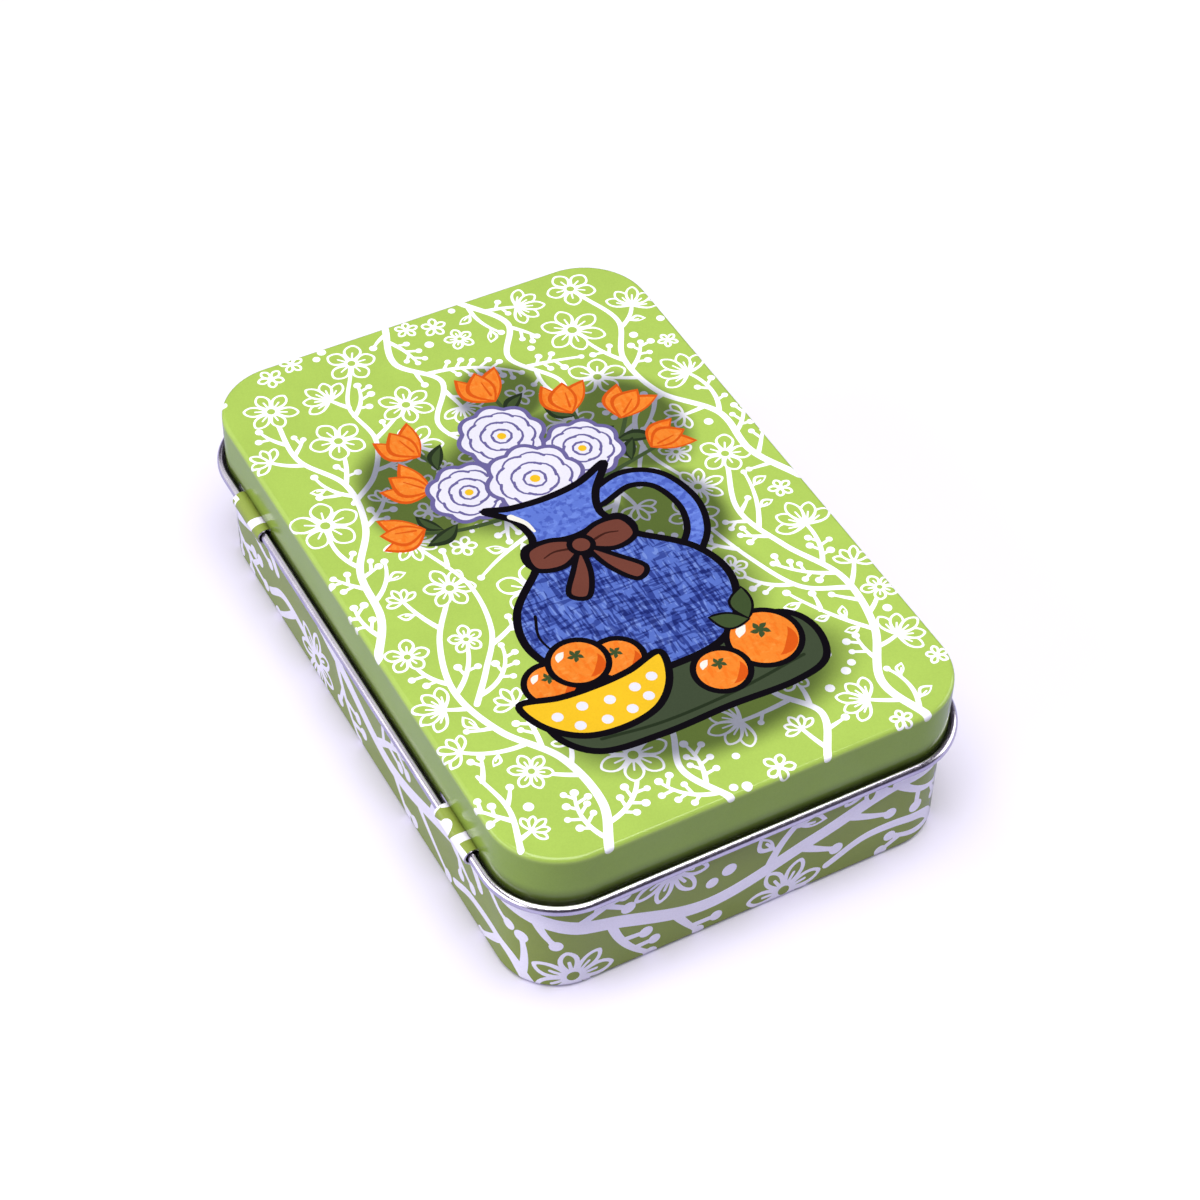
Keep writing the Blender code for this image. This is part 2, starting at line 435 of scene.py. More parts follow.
# Each ink's colour, its pattern, and whether the picture's printed shadow falls on it
INKS = {
    "lime": (lit(183, 213, 98), PLAIN, True),
    "white": (linear(243, 242, 246), PLAIN, True),
    "olive_green": (linear(139, 155, 66), PLAIN, False),
    "lilac": (linear(248, 244, 255), PLAIN, False),
    "outline": (lit(14, 11, 16), PLAIN, False),
    "blossom": (lit(242, 239, 252), PLAIN, False),
    "violet": (lit(112, 104, 160), PLAIN, False),
    "speckled_blue": (lit(100, 126, 218), SPECKLED, False),
    "woven_blue": (lit(92, 118, 204), WOVEN, False),
    "brown": (lit(118, 66, 54), PLAIN, False),
    "dark_brown": (lit(66, 32, 24), PLAIN, False),
    "orange": (lit(250, 140, 48), BRUSHED, False),
    "deep_orange": (lit(226, 92, 22), PLAIN, False),
    "yellow": (lit(250, 200, 40), PLAIN, False),
    "cream": (lit(250, 246, 236), PLAIN, False),
    "leaf": (lit(66, 84, 48), PLAIN, False),
    "dark_leaf": (lit(40, 52, 32), PLAIN, False),
    "olive": (lit(66, 78, 56), PLAIN, False),
}


# Drawing in the plane: outlines with an ink, later ones cover earlier ones


def circle(centre, radius):
    """Points at equal angles round a centre."""
    count = int(np.clip(9 + 8 * radius, 10, 56))
    angle = np.linspace(0, 2 * math.pi, count, endpoint=False)
    return np.asarray(centre) + radius * round_points(angle)


def smooth_line(knots, spacing=0.45, closed=False):
    """Catmull-Rom curve through the knots, sampled about every spacing."""
    knots = np.asarray(knots, float)
    if closed:
        padded = np.concatenate((knots[-1:], knots, knots[:2]))
    else:
        padded = np.concatenate((2 * knots[:1] - knots[1:2], knots, 2 * knots[-1:] - knots[-2:-1]))
    runs = []
    for a, b, c, d in zip(padded, padded[1:], padded[2:], padded[3:]):
        count = max(2, int(math.dist(b, c) / spacing))
        t = np.linspace(0, 1, count, endpoint=False)[:, None]
        bend = 2 * a - 5 * b + 4 * c - d
        twist = 3 * (b - c) + d - a
        runs.append(b + 0.5 * t * ((c - a) + t * (bend + t * twist)))
    if not closed:
        runs.append(knots[-1:])
    return np.concatenate(runs)


def tangents(line):
    step = np.gradient(line, axis=0)
    return step / np.maximum(np.hypot(step[:, 0], step[:, 1]), NO_STEP)[:, None]


def ribbon(line, width_start, width_end=None):
    """Outline of a line with round ends: half the width to each side of its tangent."""
    width_end = width_start if width_end is None else width_end
    tangent = tangents(line)
    normal = np.column_stack((-tangent[:, 1], tangent[:, 0]))
    half = np.linspace(width_start, width_end, len(line))[:, None] / 2
    left, right = line + normal * half, line - normal * half
    turn = np.linspace(0, math.pi, 7)[1:-1, None]
    end_cap = line[-1] + half[-1] * (tangent[-1] * np.sin(turn) - normal[-1] * np.cos(turn))
    start_cap = line[0] + half[0] * (normal[0] * np.cos(turn) - tangent[0] * np.sin(turn))
    return np.concatenate((right, end_cap, left[::-1], start_cap))


def anticlockwise(outline):
    x, y = outline[:, 0], outline[:, 1]
    area = np.sum(x * np.roll(y, -1) - y * np.roll(x, -1))
    return outline if area > 0 else outline[::-1]


def grown(outline, distance):
    """A closed outline moved outwards along its normals."""
    outline = anticlockwise(outline)
    step = np.roll(outline, -1, axis=0) - np.roll(outline, 1, axis=0)
    step /= np.maximum(np.hypot(step[:, 0], step[:, 1]), NO_STEP)[:, None]
    return outline + distance * np.column_stack((step[:, 1], -step[:, 0]))


def direction(angle):
    return np.array((math.cos(angle), math.sin(angle)))


def heading_of(step):
    return math.atan2(step[1], step[0])


def loop_about(middle, reach):
    """Closed loop down one side of a middle line and back up the other, with shared ends."""
    return np.concatenate((middle - reach, (middle + reach)[-2:0:-1]))


PETAL_FULLNESS = 1.35


def petal(base, angle, length, width):
    """Round-ended loop from its base: half-width is width/2 * sin(pi * share**fullness)**0.6."""
    share = 0.5 - 0.5 * np.cos(np.linspace(0, math.pi, 13))
    half = width / 2 * np.sin(math.pi * share**PETAL_FULLNESS).clip(0) ** 0.6
    middle = base + length * share[:, None] * direction(angle)
    return loop_about(middle, half[:, None] * direction(angle + RIGHT_ANGLE))


def leaf(base, angle, length, width):
    """Pointed at both ends: half-width is width/2 times sin(pi * share), over a bent middle."""
    share = np.linspace(0, 1, 11)
    half = width / 2 * np.sin(math.pi * share)
    forward, across = direction(angle), direction(angle + RIGHT_ANGLE)
    middle = base + length * share[:, None] * forward
    middle = middle + 0.1 * length * np.sin(math.pi * share)[:, None] * across
    return loop_about(middle, half[:, None] * across)


def crossed(first, second):
    """The flat cross product of vectors."""
    return first[..., 0] * second[..., 1] - first[..., 1] * second[..., 0]


def untangled(outline):
    """The outline without the loops that an offset leaves in its tight corners.

    Sides i and j meet at shares a and b of their lengths, where start i + a step i equals
    start j + b step j. Of the two loops that meet there, the larger one is kept.
    """
    while True:
        step = np.roll(outline, -1, axis=0) - outline
        gap = outline[None] - outline[:, None]
        across = crossed(step[:, None], step[None])
        across[across == 0] = np.inf
        a, b = crossed(gap, step[None]) / across, crossed(gap, step[:, None]) / across
        low, high = CUT_MERGE, 1 - CUT_MERGE
        pairs = np.argwhere((a > low) & (a < high) & (b > low) & (b < high))
        if not len(pairs):
            return outline
        i, j = sorted(pairs[0])
        knot = (outline[i] + a[i, j] * step[i])[None]
        inner = np.concatenate((knot, outline[i + 1 : j + 1]))
        outer = np.concatenate((knot, outline[j + 1 :], outline[: i + 1]))
        outline = max(inner, outer, key=lambda loop: abs(crossed(loop, np.roll(loop, -1, axis=0)).sum()))


class Print:
    """Painted shapes in order, each an outline on the blank and its ink."""

    def __init__(self, to_blank):
        self.to_blank = to_blank
        self.shapes = []

    def paint(self, outline, ink):
        self.shapes.append((anticlockwise(untangled(self.to_blank(np.asarray(outline, float)))), ink))


class Scroll:
    """A floral scroll: vines laid through listed knots, and sprigs that grow from them into the room beside.

    The sizes below, times scale, are its motifs' sizes in millimetres. room tells how far
    points lie inside the field, and every motif is kept as discs (x, y, radius), so that the
    next ones keep clear of it.
    """

    # widths of lines, and the gap kept between motifs
    LOOP_LINE = 0.34
    TWIG_WIDTH = 0.72
    STALK_WIDTHS = (0.46, 0.40)
    VEIN_WIDTHS = (0.30, 0.22)
    GAP = 0.3
    # a twig's growth: its steps, and the room it asks for, which starts below 0 at its root
    TRIES_PER_SPRIG = 5
    SPACING_SHARES = (0.7, 1.2)
    GROWTH_STEP = 0.4
    TWIG_ROOM = 0.8
    ROOM_PER_STEP = 0.36
    ROOT_ALLOWANCE = 0.95
    TWIG_BENDS = (0.02, 0.15)
    TWIG_STEPS = (9, 34)
    SHORTEST_TWIG = 7
    LONG_TWIG = 13
    STEPS_BACK = (0, 3, 6, 10)
    # radii of flowers, buds and dots, and lengths of leaves and stalks
    SPRIG_FLOWERS = (4.4, 3.9, 3.4, 2.9, 2.4)
    VINE_FLOWER = 3.6
    LOOSE_FLOWER = 4.0
    BUD_RADII = (0.42, 0.56)
    DOT_RADII = (0.50, 0.66)
    LEAF_LENGTHS = (2.3, 3.1)
    STALK_LENGTHS = (1.35, 1.9)
    SIDE_ANGLES = (46, 64)
    # a small or a large flower's petals, in number, and how uneven they are
    FEW_PETALS = 5
    PETAL_COUNTS = (5, 6, 6, 7, 8)
    LARGE_FLOWER = 2.6
    PETAL_TURNS = (-0.09, 0.09)
    PETAL_SHARES = (0.92, 1.06)
    # a trail of dots: their number, the turn between them, and how they shrink
    TRAIL_COUNTS = (3, 4, 5, 6)
    TRAIL_BENDS = (-0.5, 0.5)
    TRAIL_SHRINK = 0.86
    # shares of flowers seen from the side, of twigs with leaves, and of gaps with dots
    FAN_SHARE = 0.35
    LEAFY_SHARE = 0.3
    DOTTED_SHARE = 0.3
    FAN_SPREAD = math.radians(38)

    def __init__(self, art, ink, field, room, seed, scale):
        self.art = art
        self.ink = ink
        self.field = field
        self.room = room
        self.chance = random.Random(seed)
        self.scale = scale
        self.taken = np.zeros((0, 3))
        self.stems = []

    def size_in(self, limits):
        """A size by chance between two limits, in this scroll's scale."""
        return self.chance.uniform(*limits) * self.scale

    def take(self, points, radius):
        points = np.atleast_2d(points)
        self.taken = np.concatenate((self.taken, np.column_stack((points, np.full(len(points), radius)))))

    def clearance(self, points):
        """Distance from each point to the nearest motif or to the field's edge."""
        points = np.atleast_2d(points)
        free = self.room(points)
        if len(self.taken):
            away = np.linalg.norm(points[:, None] - self.taken[None, :, :2], axis=2) - self.taken[:, 2]
            free = np.minimum(free, away.min(axis=1))
        return free

    def stroke(self, line, width_start, width_end=None):
        self.art.paint(ribbon(line, width_start, width_end), self.ink)

    def vine(self, knots, width_start, width_end):
        """A stem laid through listed knots, which later grows sprigs, with a flower where it ends in the
        open.
        """
        line = smooth_line(knots)
        middle = len(line) // 2
        width = 0.5 * (width_start + width_end) * self.scale
        self.stroke(line[: middle + 1], width_start * self.scale, width)
        self.stroke(line[middle:], width, width_end * self.scale)
        self.take(line, 0.5 * width_start * self.scale)
        self.stems.append((line, 0))
        radius = self.VINE_FLOWER * self.scale
        tip = line[-1] + 0.55 * radius * direction(heading_of(line[-1] - line[-3]))
        if self.room(tip[None])[0] > radius:
            self.flower(tip, radius)

    def grow(self, line, spacing, spread):
        """Sprigs on both sides of a stem in turn, at about this spacing."""
        steps = np.hypot(*np.diff(line, axis=0).T)
        gone = np.concatenate(([0], np.cumsum(steps)))
        tangent = tangents(line)
        side = self.chance.choice((-1, 1))
        stop = 0.5 * spacing
        while stop < gone[-1]:
            k = int(np.searchsorted(gone, stop))
            for _ in range(self.TRIES_PER_SPRIG):
                turn = side * math.radians(self.chance.uniform(*spread))
                if self.sprig(line[k], heading_of(tangent[k]) + turn, side):
                    break
            side = -side
            stop += spacing * self.chance.uniform(*self.SPACING_SHARES)

    def reach(self, root, heading, bend, most):
        """A steadily bending line, grown until it would come too near anything else."""
        step = self.GROWTH_STEP * self.scale
        line = [np.array(root, float)]
        for k in range(1, most):
            heading += bend * step
            ahead = line[-1] + step * direction(heading)
            need = min(self.TWIG_ROOM, self.ROOM_PER_STEP * k - self.ROOT_ALLOWANCE) * self.scale
            if self.clearance(ahead)[0] < need:
                break
            line.append(ahead)
        return np.array(line), heading

    def sprig(self, root, heading, side):
        """A bending twig that ends in a flower where there is room, or carries buds."""
        bend = -side * self.chance.uniform(*self.TWIG_BENDS) / self.scale
        most = int(self.chance.uniform(*self.TWIG_STEPS))
        line, end_heading = self.reach(root, heading, bend, most)
        if len(line) < self.SHORTEST_TWIG:
            return False
        for size in self.SPRIG_FLOWERS:
            for back in self.STEPS_BACK:
                stem = line[: len(line) - back]
                if len(stem) < self.SHORTEST_TWIG - 1:
                    continue
                heading_there = heading_of(stem[-1] - stem[-2])
                radius = size * self.scale
                if self.chance.random() < self.FAN_SHARE:
                    if self.fan(stem, heading_there, radius):
                        return True
                    continue
                centre = stem[-1] + 0.5 * radius * direction(heading_there)
                if self.clearance(circle(centre, 0.9 * radius)).min() > self.GAP * self.scale:
                    self.twig(stem, 0.5)
                    self.flower(centre, radius)
                    self.side_motifs(stem, 0.75)
                    return True
        self.twig(line, 0.4)
        self.bud(line[-1], end_heading, 0.5 * self.scale)
        self.side_motifs(line, 1.0)
        if len(line) > self.LONG_TWIG:
            self.stems.append((line, 1))
        return True

    def twig(self, line, end_width):
        self.stroke(line, self.TWIG_WIDTH * self.scale, end_width * self.scale)
        self.take(line[3:], 0.25 * self.scale)

    def side_motifs(self, line, share):
        """Buds and leaves on both sides of a twig in turn."""
        tangent = tangents(line)
        side = self.chance.choice((-1, 1))
        leafy = self.chance.random() < self.LEAFY_SHARE
        k = 4
        while k < len(line) - 1:
            turn = self.chance.uniform(*self.SIDE_ANGLES)
            heading = heading_of(tangent[k]) + side * math.radians(turn)
            if leafy:
                self.side_leaf(line[k], heading, self.size_in(self.LEAF_LENGTHS))
            elif self.chance.random() < share:
                self.side_bud(line[k], heading, self.size_in(self.STALK_LENGTHS))
            side = -side
            k += 5 if leafy else 2

    def side_bud(self, root, heading, length):
        if self.clearance(root + length * direction(heading))[0] > 0.5 * self.scale:
            self.bud(root, heading, length)

    def side_leaf(self, root, heading, length):
        """A leaf drawn as a loop round its vein."""
        spots = root + np.linspace(0.5, 0.95, 3)[:, None] * length * direction(heading)
        if self.clearance(spots).min() < 0.65 * self.scale:
            return
        line_width = self.LOOP_LINE * self.scale
        base = root + 0.12 * length * direction(heading)
        self.art.paint(leaf(base, heading, 0.9 * length, 0.5 * length), self.ink)
        inner_base = base + 1.5 * line_width * direction(heading)
        inner_length = 0.9 * length - 2.7 * line_width
        self.art.paint(leaf(inner_base, heading, inner_length, 0.5 * length - 1.7 * line_width), self.field)
        vein = np.linspace(root, root + 0.62 * length * direction(heading), 3)
        self.stroke(vein, *(width * self.scale for width in self.VEIN_WIDTHS))
        self.take(spots, 0.2 * length)

    def bud(self, root, heading, length):
        """A round head on a stalk."""
        tip = root + length * direction(heading)
        size = self.size_in(self.BUD_RADII)
        self.stroke(np.linspace(root, tip, 4), *(width * self.scale for width in self.STALK_WIDTHS))
        self.art.paint(circle(tip, size), self.ink)
        self.take(tip, size)

    def open_petal(self, centre, angle, length, width, line_width):
        """A petal drawn as a loop, with a short streak up its middle."""
        self.art.paint(petal(centre, angle, length, width), self.ink)
        base = centre + 0.22 * length * direction(angle)
        inner_length = 0.78 * length - line_width
        inner_width = width - 2 * line_width
        if inner_width > 0.2:
            self.art.paint(petal(base, angle, inner_length, inner_width), self.field)
        if inner_width > 0.8:
            streak = np.linspace(centre, centre + 0.56 * length * direction(angle), 3)
            self.stroke(streak, 0.9 * line_width, 0.7 * line_width)

    def flower(self, centre, radius):
        """Open petals all round a ringed eye."""
        large = radius > self.LARGE_FLOWER * self.scale
        count = self.chance.choice(self.PETAL_COUNTS) if large else self.FEW_PETALS
        first = self.chance.uniform(0, 2 * math.pi)
        width = min(3.5 * radius / count, 0.9 * radius)
        line_width = self.LOOP_LINE * self.scale
        for k in range(count):
            angle = first + 2 * math.pi * k / count + self.chance.uniform(*self.PETAL_TURNS)
            length = radius * self.chance.uniform(*self.PETAL_SHARES)
            self.open_petal(centre, angle, length, width, line_width)
        self.art.paint(circle(centre, 0.27 * radius), self.ink)
        if radius > 2.0:
            self.art.paint(circle(centre, 0.15 * radius), self.field)
        self.take(circle(centre, 0.62 * radius), 0.36 * radius)
        self.take(centre, 0.62 * radius)

    def fan(self, stem, heading, radius):
        """A flower seen from its side, at the end of a stem: five petals in a fan."""
        tip = stem[-1]
        angles = [heading + k * self.FAN_SPREAD for k in (-2, -1, 0, 1, 2)]
        tips = np.array([tip + radius * direction(angle) for angle in angles])
        middles = tip + 0.6 * (tips - tip)
        if self.clearance(np.concatenate((tips, middles))).min() < self.GAP * self.scale:
            return False
        self.twig(stem, 0.5)
        for k, length in ((0, 0.95), (4, 0.95), (1, 0.95), (3, 0.95), (2, 1.05)):
            self.open_petal(tip, angles[k], radius * length, 0.5 * radius, self.LOOP_LINE * self.scale)
        self.take(middles, 0.38 * radius)
        self.side_motifs(stem, 0.75)
        return True

    def dot_trail(self, place):
        """A curved row of dots that shrink towards its end."""
        heading = self.chance.uniform(0, 2 * math.pi)
        bend = self.chance.uniform(*self.TRAIL_BENDS)
        radius = self.size_in(self.DOT_RADII)
        for _ in range(self.chance.choice(self.TRAIL_COUNTS)):
            if self.clearance(place)[0] < radius + self.GAP * self.scale:
                return
            self.art.paint(circle(place, radius), self.ink)
            self.take(place, radius)
            place = place + (2.15 * radius + 0.2 * self.scale) * direction(heading)
            heading += bend
            radius *= self.TRAIL_SHRINK

    def fill(self, low, high, tries, smallest_flower):
        """Loose flowers where the gaps are wide, and a few trails of dots in the rest."""
        for _ in range(tries):
            place = np.array([self.chance.uniform(low[0], high[0]), self.chance.uniform(low[1], high[1])])
            free = self.clearance(place)[0]
            if free > smallest_flower * self.scale:
                self.flower(place, min(free - self.GAP * self.scale, self.LOOSE_FLOWER * self.scale))
            elif free > 0.95 * self.scale and self.chance.random() < self.DOTTED_SHARE:
                self.dot_trail(place)


# Finishes


class Nodes:
    """A node tree with short calls for the nodes that the finishes use."""

    def __init__(self, tree):
        self.tree = tree

    def add(self, kind, **settings):
        node = self.tree.nodes.new(kind)
        for key, value in settings.items():
            setattr(node, key, value)
        return node

    def feed(self, socket, value):
        """Link an output, or set a constant, on a socket."""
        if isinstance(value, bpy.types.NodeSocket):
            self.tree.links.new(value, socket)
        else:
            socket.default_value = value

    def feed_in_turn(self, node, *given):
        """The node's outputs, once its first inputs are fed with these in turn."""
        for socket, value in zip(node.inputs, given):
            self.feed(socket, value)
        return node.outputs

    def math(self, operation, *given):
        return self.feed_in_turn(self.add("ShaderNodeMath", operation=operation), *given)[0]

    def vector_math(self, operation, *given):
        return self.feed_in_turn(self.add("ShaderNodeVectorMath", operation=operation), *given)

    def group(self, tree, **given):
        """The outputs of a node group whose inputs are fed by name."""
        node = self.add("ShaderNodeGroup", node_tree=tree)
        for name, value in given.items():
            self.feed(node.inputs[name], value)
        return node.outputs

    def place(self):
        return self.add("ShaderNodeTexCoord").outputs["Object"]

    def remap(self, value, low, high, to_low=0.0, to_high=1.0, smooth=True):
        kind = "SMOOTHSTEP" if smooth else "LINEAR"
        node = self.add("ShaderNodeMapRange", interpolation_type=kind)
        names = ("Value", "From Min", "From Max", "To Min", "To Max")
        for name, given in zip(names, (value, low, high, to_low, to_high)):
            self.feed(node.inputs[name], given)
        return node.outputs["Result"]

    def mix(self, share, first, second, blend="MIX"):
        node = self.add("ShaderNodeMix", data_type="RGBA", blend_type=blend)
        self.feed(node.inputs["Factor"], share)
        self.feed(node.inputs["A"], first)
        self.feed(node.inputs["B"], second)
        return node.outputs["Result"]

    def tinted(self, ink, tint, mask, strength):
        """The ink multiplied by a tint, as far as a mask and a strength go."""
        return self.mix(self.math("MULTIPLY", mask, strength), ink, tint, "MULTIPLY")

    def noise(self, place, size, detail=2.0, stretch=(1.0, 1.0, 1.0), turn=0.0):
        """Noise with features of about this size in metres, stretched along some axes."""
        mapping = self.add("ShaderNodeMapping")
        self.feed(mapping.inputs["Vector"], place)
        mapping.inputs["Rotation"].default_value = (0.0, 0.0, turn)
        mapping.inputs["Scale"].default_value = [share / size for share in stretch]
        node = self.add("ShaderNodeTexNoise")
        self.feed(node.inputs["Vector"], mapping.outputs["Vector"])
        self.feed(node.inputs["Scale"], 1.0)
        self.feed(node.inputs["Detail"], detail)
        return node.outputs["Fac"]


def node_group(name, inputs, outputs):
    """(group, its nodes, input sockets, output sockets) of a new shader node group."""
    tree = bpy.data.node_groups.new(name, "ShaderNodeTree")
    for direction_in, sockets in (("INPUT", inputs), ("OUTPUT", outputs)):
        for socket, kind in sockets:
            tree.interface.new_socket(socket, in_out=direction_in, socket_type=kind)
    nodes = Nodes(tree)
    return tree, nodes, nodes.add("NodeGroupInput").outputs, nodes.add("NodeGroupOutput").inputs


ELLIPSE_CORE = 0.62


def soft_ellipse_group():
    """Mask of one ellipse: 1 in its core, and a smooth fall to 0 at its edge."""
    sockets = [("Place", "NodeSocketVector"), ("Centre", "NodeSocketVector"), ("Radii", "NodeSocketVector")]
    tree, nodes, given, result = node_group("soft_ellipse", sockets, [("Mask", "NodeSocketFloat")])
    away = nodes.vector_math("SUBTRACT", given["Place"], given["Centre"])["Vector"]
    flat = nodes.vector_math("MULTIPLY", away, (1.0, 1.0, 0.0))["Vector"]
    share = nodes.vector_math("DIVIDE", flat, given["Radii"])["Vector"]
    length = nodes.vector_math("LENGTH", share)["Value"]
    nodes.feed(result["Mask"], nodes.remap(length, 1.0, ELLIPSE_CORE))
    return tree


def picture_shadow_group(ellipses):
    """The soft shadow that is printed round the picture: the largest of its ellipses' masks."""
    ellipse_tree = soft_ellipse_group()
    tree, nodes, given, result = node_group(
        "picture_shadow", [("Place", "NodeSocketVector")], [("Mask", "NodeSocketFloat")]
    )
    mask = 0.0
    for right, up, half_wide, half_high in ellipses:
        centre = (up * METRES, (CENTRE_Y - right) * METRES, 0.0)
        radii = (half_high * METRES, half_wide * METRES, 1.0)
        ellipse = nodes.group(ellipse_tree, Place=given["Place"], Centre=centre, Radii=radii)
        mask = nodes.math("MAXIMUM", ellipse["Mask"], mask)
    nodes.feed(result["Mask"], mask)
    return tree


EVEN = (1.0, 1.0, 1.0)

# Masks drawn over an ink, for each pattern: the noise's feature size in metres, its detail,
# stretch and turn, the noise values between which the mask rises, its tint and strength
PATTERN_MASKS = {
    SPECKLED: (
        (0.0008, 2.0, EVEN, 0.0, (0.50, 0.58), (0.50, 0.52, 0.72, 1.0), 0.75),
        (0.0011, 2.0, (1.3, 0.8, 1.0), 1.1, (0.53, 0.62), (1.45, 1.4, 1.18, 1.0), 0.7),
    ),
    WOVEN: (
        (0.0007, 1.0, (0.28, 1.5, 1.0), 0.0, (0.50, 0.56), (0.20, 0.22, 0.42, 1.0), 0.85),
        (0.0007, 1.0, (1.5, 0.28, 1.0), 0.0, (0.51, 0.57), (0.24, 0.26, 0.46, 1.0), 0.8),
        (0.0009, 1.0, (0.5, 1.6, 1.0), 0.1, (0.57, 0.62), (1.9, 1.7, 1.25, 1.0), 0.8),
    ),
    BRUSHED: (
        (0.0010, 3.0, (0.6, 1.5, 1.0), 0.6, (0.48, 0.62), (1.0, 0.72, 0.45, 1.0), 0.7),
        (0.0008, 3.0, (1.6, 0.6, 1.0), 0.6, (0.55, 0.68), (1.05, 1.35, 2.2, 1.0), 0.6),
    ),
}


def ink_pattern_group(material_name):
    """Shade of an ink by its pattern: speckles, a coarse weave of dashes, or brushed mottling."""
    sockets = [("Ink", "NodeSocketColor"), ("Pattern", "NodeSocketFloat"), ("Place", "NodeSocketVector")]
    name = "ink_pattern_" + material_name
    tree, nodes, given, result = node_group(name, sockets, [("Ink", "NodeSocketColor")])
    ink = given["Ink"]
    for pattern, masks in PATTERN_MASKS.items():
        here = nodes.math("COMPARE", given["Pattern"], float(pattern), 0.4)
        for size, detail, stretch, turn, rise, tint, strength in masks:
            noise = nodes.noise(given["Place"], size, detail, stretch, turn)
            ink = nodes.tinted(ink, tint, nodes.remap(noise, *rise), nodes.math("MULTIPLY", here, strength))
    nodes.feed(result["Ink"], ink)
    return tree


def new_material(name):
    """(material, its nodes, its Principled shader)."""
    material = bpy.data.materials.new(name)
    material.use_nodes = True
    return material, Nodes(material.node_tree), material.node_tree.nodes["Principled BSDF"]


def attribute_of(nodes, name, output):
    return nodes.add("ShaderNodeAttribute", attribute_name=name).outputs[output]


def bump(nodes, height, strength, distance):
    node = nodes.add("ShaderNodeBump")
    nodes.feed(node.inputs["Height"], height)
    node.inputs["Strength"].default_value = strength
    node.inputs["Distance"].default_value = distance
    return node.outputs["Normal"]


# Soft shadow printed round the picture: (right, up, half width, half height) on the lid
SHADOW_ELLIPSES = [
    (2.0, -15.0, 17.5, 15.5),
    (2.0, -2.0, 10.5, 9.0),
    (1.6, 12.5, 18.5, 13.0),
    (-14.0, 15.5, 9.0, 12.0),
    (16.0, 14.5, 9.0, 12.0),
    (3.5, 27.0, 7.5, 7.5),
    (13.0, -2.5, 8.5, 11.0),
    (1.5, -31.0, 22.5, 11.0),
]

# Tints that multiply an ink, and how far each goes
SHADOW_TINT, SHADOW_DEPTH = (0.10, 0.11, 0.16, 1.0), 0.86
# painted shade: a dark band at the skirt's foot, falling to black at the bead's groove
FOOT_SHADE_TINT, FOOT_SHADE_DEPTH = (0.03, 0.03, 0.03, 1.0), 0.93
# painted shade: the skirt's print darkened on every side below its top edge
SKIRT_SHADE_TINT = (0.73, 0.77, 0.55, 1.0)

# Heights on the lid, in metres
SKIRT_TOP = (TIN_HEIGHT - 1.0) * METRES
SKIRT_FADE = 0.6 * METRES
# the painted shade at the skirt's foot is full here and fades out over the reach above
FOOT_SHADE_BOTTOM = (BEAD_HEIGHT + 0.4) * METRES
FOOT_SHADE_REACH = 3.0 * METRES

# Feature sizes of the finishes' noises, in metres, and the values that noise mostly keeps to
MOTTLE_SIZE = 0.006
GRAIN_SIZE = 0.00022
SMUDGE_SIZE = 0.009
PEEL_SIZE = 0.0009
STAIN_SIZE = 0.004
STREAK_SIZE = 0.0005
STREAK_STRETCH = (0.02, 1.0, 0.5)
NOISE_LOW, NOISE_HIGH = 0.3, 0.7


def varied(nodes, noise, at_low, at_high):
    """A value that follows a noise between its usual low and high values."""
    return nodes.remap(noise, NOISE_LOW, NOISE_HIGH, at_low, at_high, False)


def shaded_lid_ink(nodes, place, ink):
    """The lid's ink under the picture's soft printed shadow, and its darker skirt.

    Painted shade darkens the skirt, and above the bead's groove takes it down to black.
    """
    shadow = nodes.group(picture_shadow_group(SHADOW_ELLIPSES), Place=place)["Mask"]
    shaded = nodes.math("MULTIPLY", shadow, attribute_of(nodes, "shaded", "Fac"))
    ink = nodes.tinted(ink, SHADOW_TINT, shaded, SHADOW_DEPTH)
    split = nodes.add("ShaderNodeSeparateXYZ")
    nodes.feed(split.inputs["Vector"], place)
    height = split.outputs["Z"]
    # painted shade: the skirt's print darkened below the lid's top edge
    skirt_shade = nodes.remap(height, SKIRT_TOP + SKIRT_FADE, SKIRT_TOP)
    ink = nodes.mix(skirt_shade, ink, SKIRT_SHADE_TINT, "MULTIPLY")
    # painted shade: the skirt darkens towards the groove above the bead, down to black
    foot_shade = nodes.remap(height, FOOT_SHADE_BOTTOM + FOOT_SHADE_REACH, FOOT_SHADE_BOTTOM)
    return nodes.tinted(ink, FOOT_SHADE_TINT, foot_shade, FOOT_SHADE_DEPTH)


def printed_varnish(name, is_lid):
    """Ink under a clear varnish, with fine print grain, faint mottling and orange peel."""
    material, nodes, shader = new_material(name)
    place = nodes.place()
    ink, pattern = attribute_of(nodes, "ink", "Color"), attribute_of(nodes, "pattern", "Fac")
    ink = nodes.group(ink_pattern_group(name), Ink=ink, Pattern=pattern, Place=place)["Ink"]
    if is_lid:
        ink = shaded_lid_ink(nodes, place, ink)
    mottle = varied(nodes, nodes.noise(place, MOTTLE_SIZE, 3.0), 0.97, 1.03)
    grain = varied(nodes, nodes.noise(place, GRAIN_SIZE, 1.0), 0.97, 1.03)
    ink = nodes.mix(1.0, ink, nodes.math("MULTIPLY", mottle, grain), "MULTIPLY")
    nodes.feed(shader.inputs["Base Color"], ink)
    shader.inputs["Roughness"].default_value = 0.5
    shader.inputs["Specular IOR Level"].default_value = 0.0
    smudge = nodes.noise(place, SMUDGE_SIZE, 3.0)
    nodes.feed(shader.inputs["Coat Weight"], varied(nodes, smudge, 0.95, 0.75))
    nodes.feed(shader.inputs["Coat Roughness"], nodes.remap(smudge, 0.35, NOISE_HIGH, 0.10, 0.16, False))
    peel = nodes.noise(place, PEEL_SIZE, 2.0)
    nodes.feed(shader.inputs["Coat Normal"], bump(nodes, peel, 0.2, 0.000008))
    return material


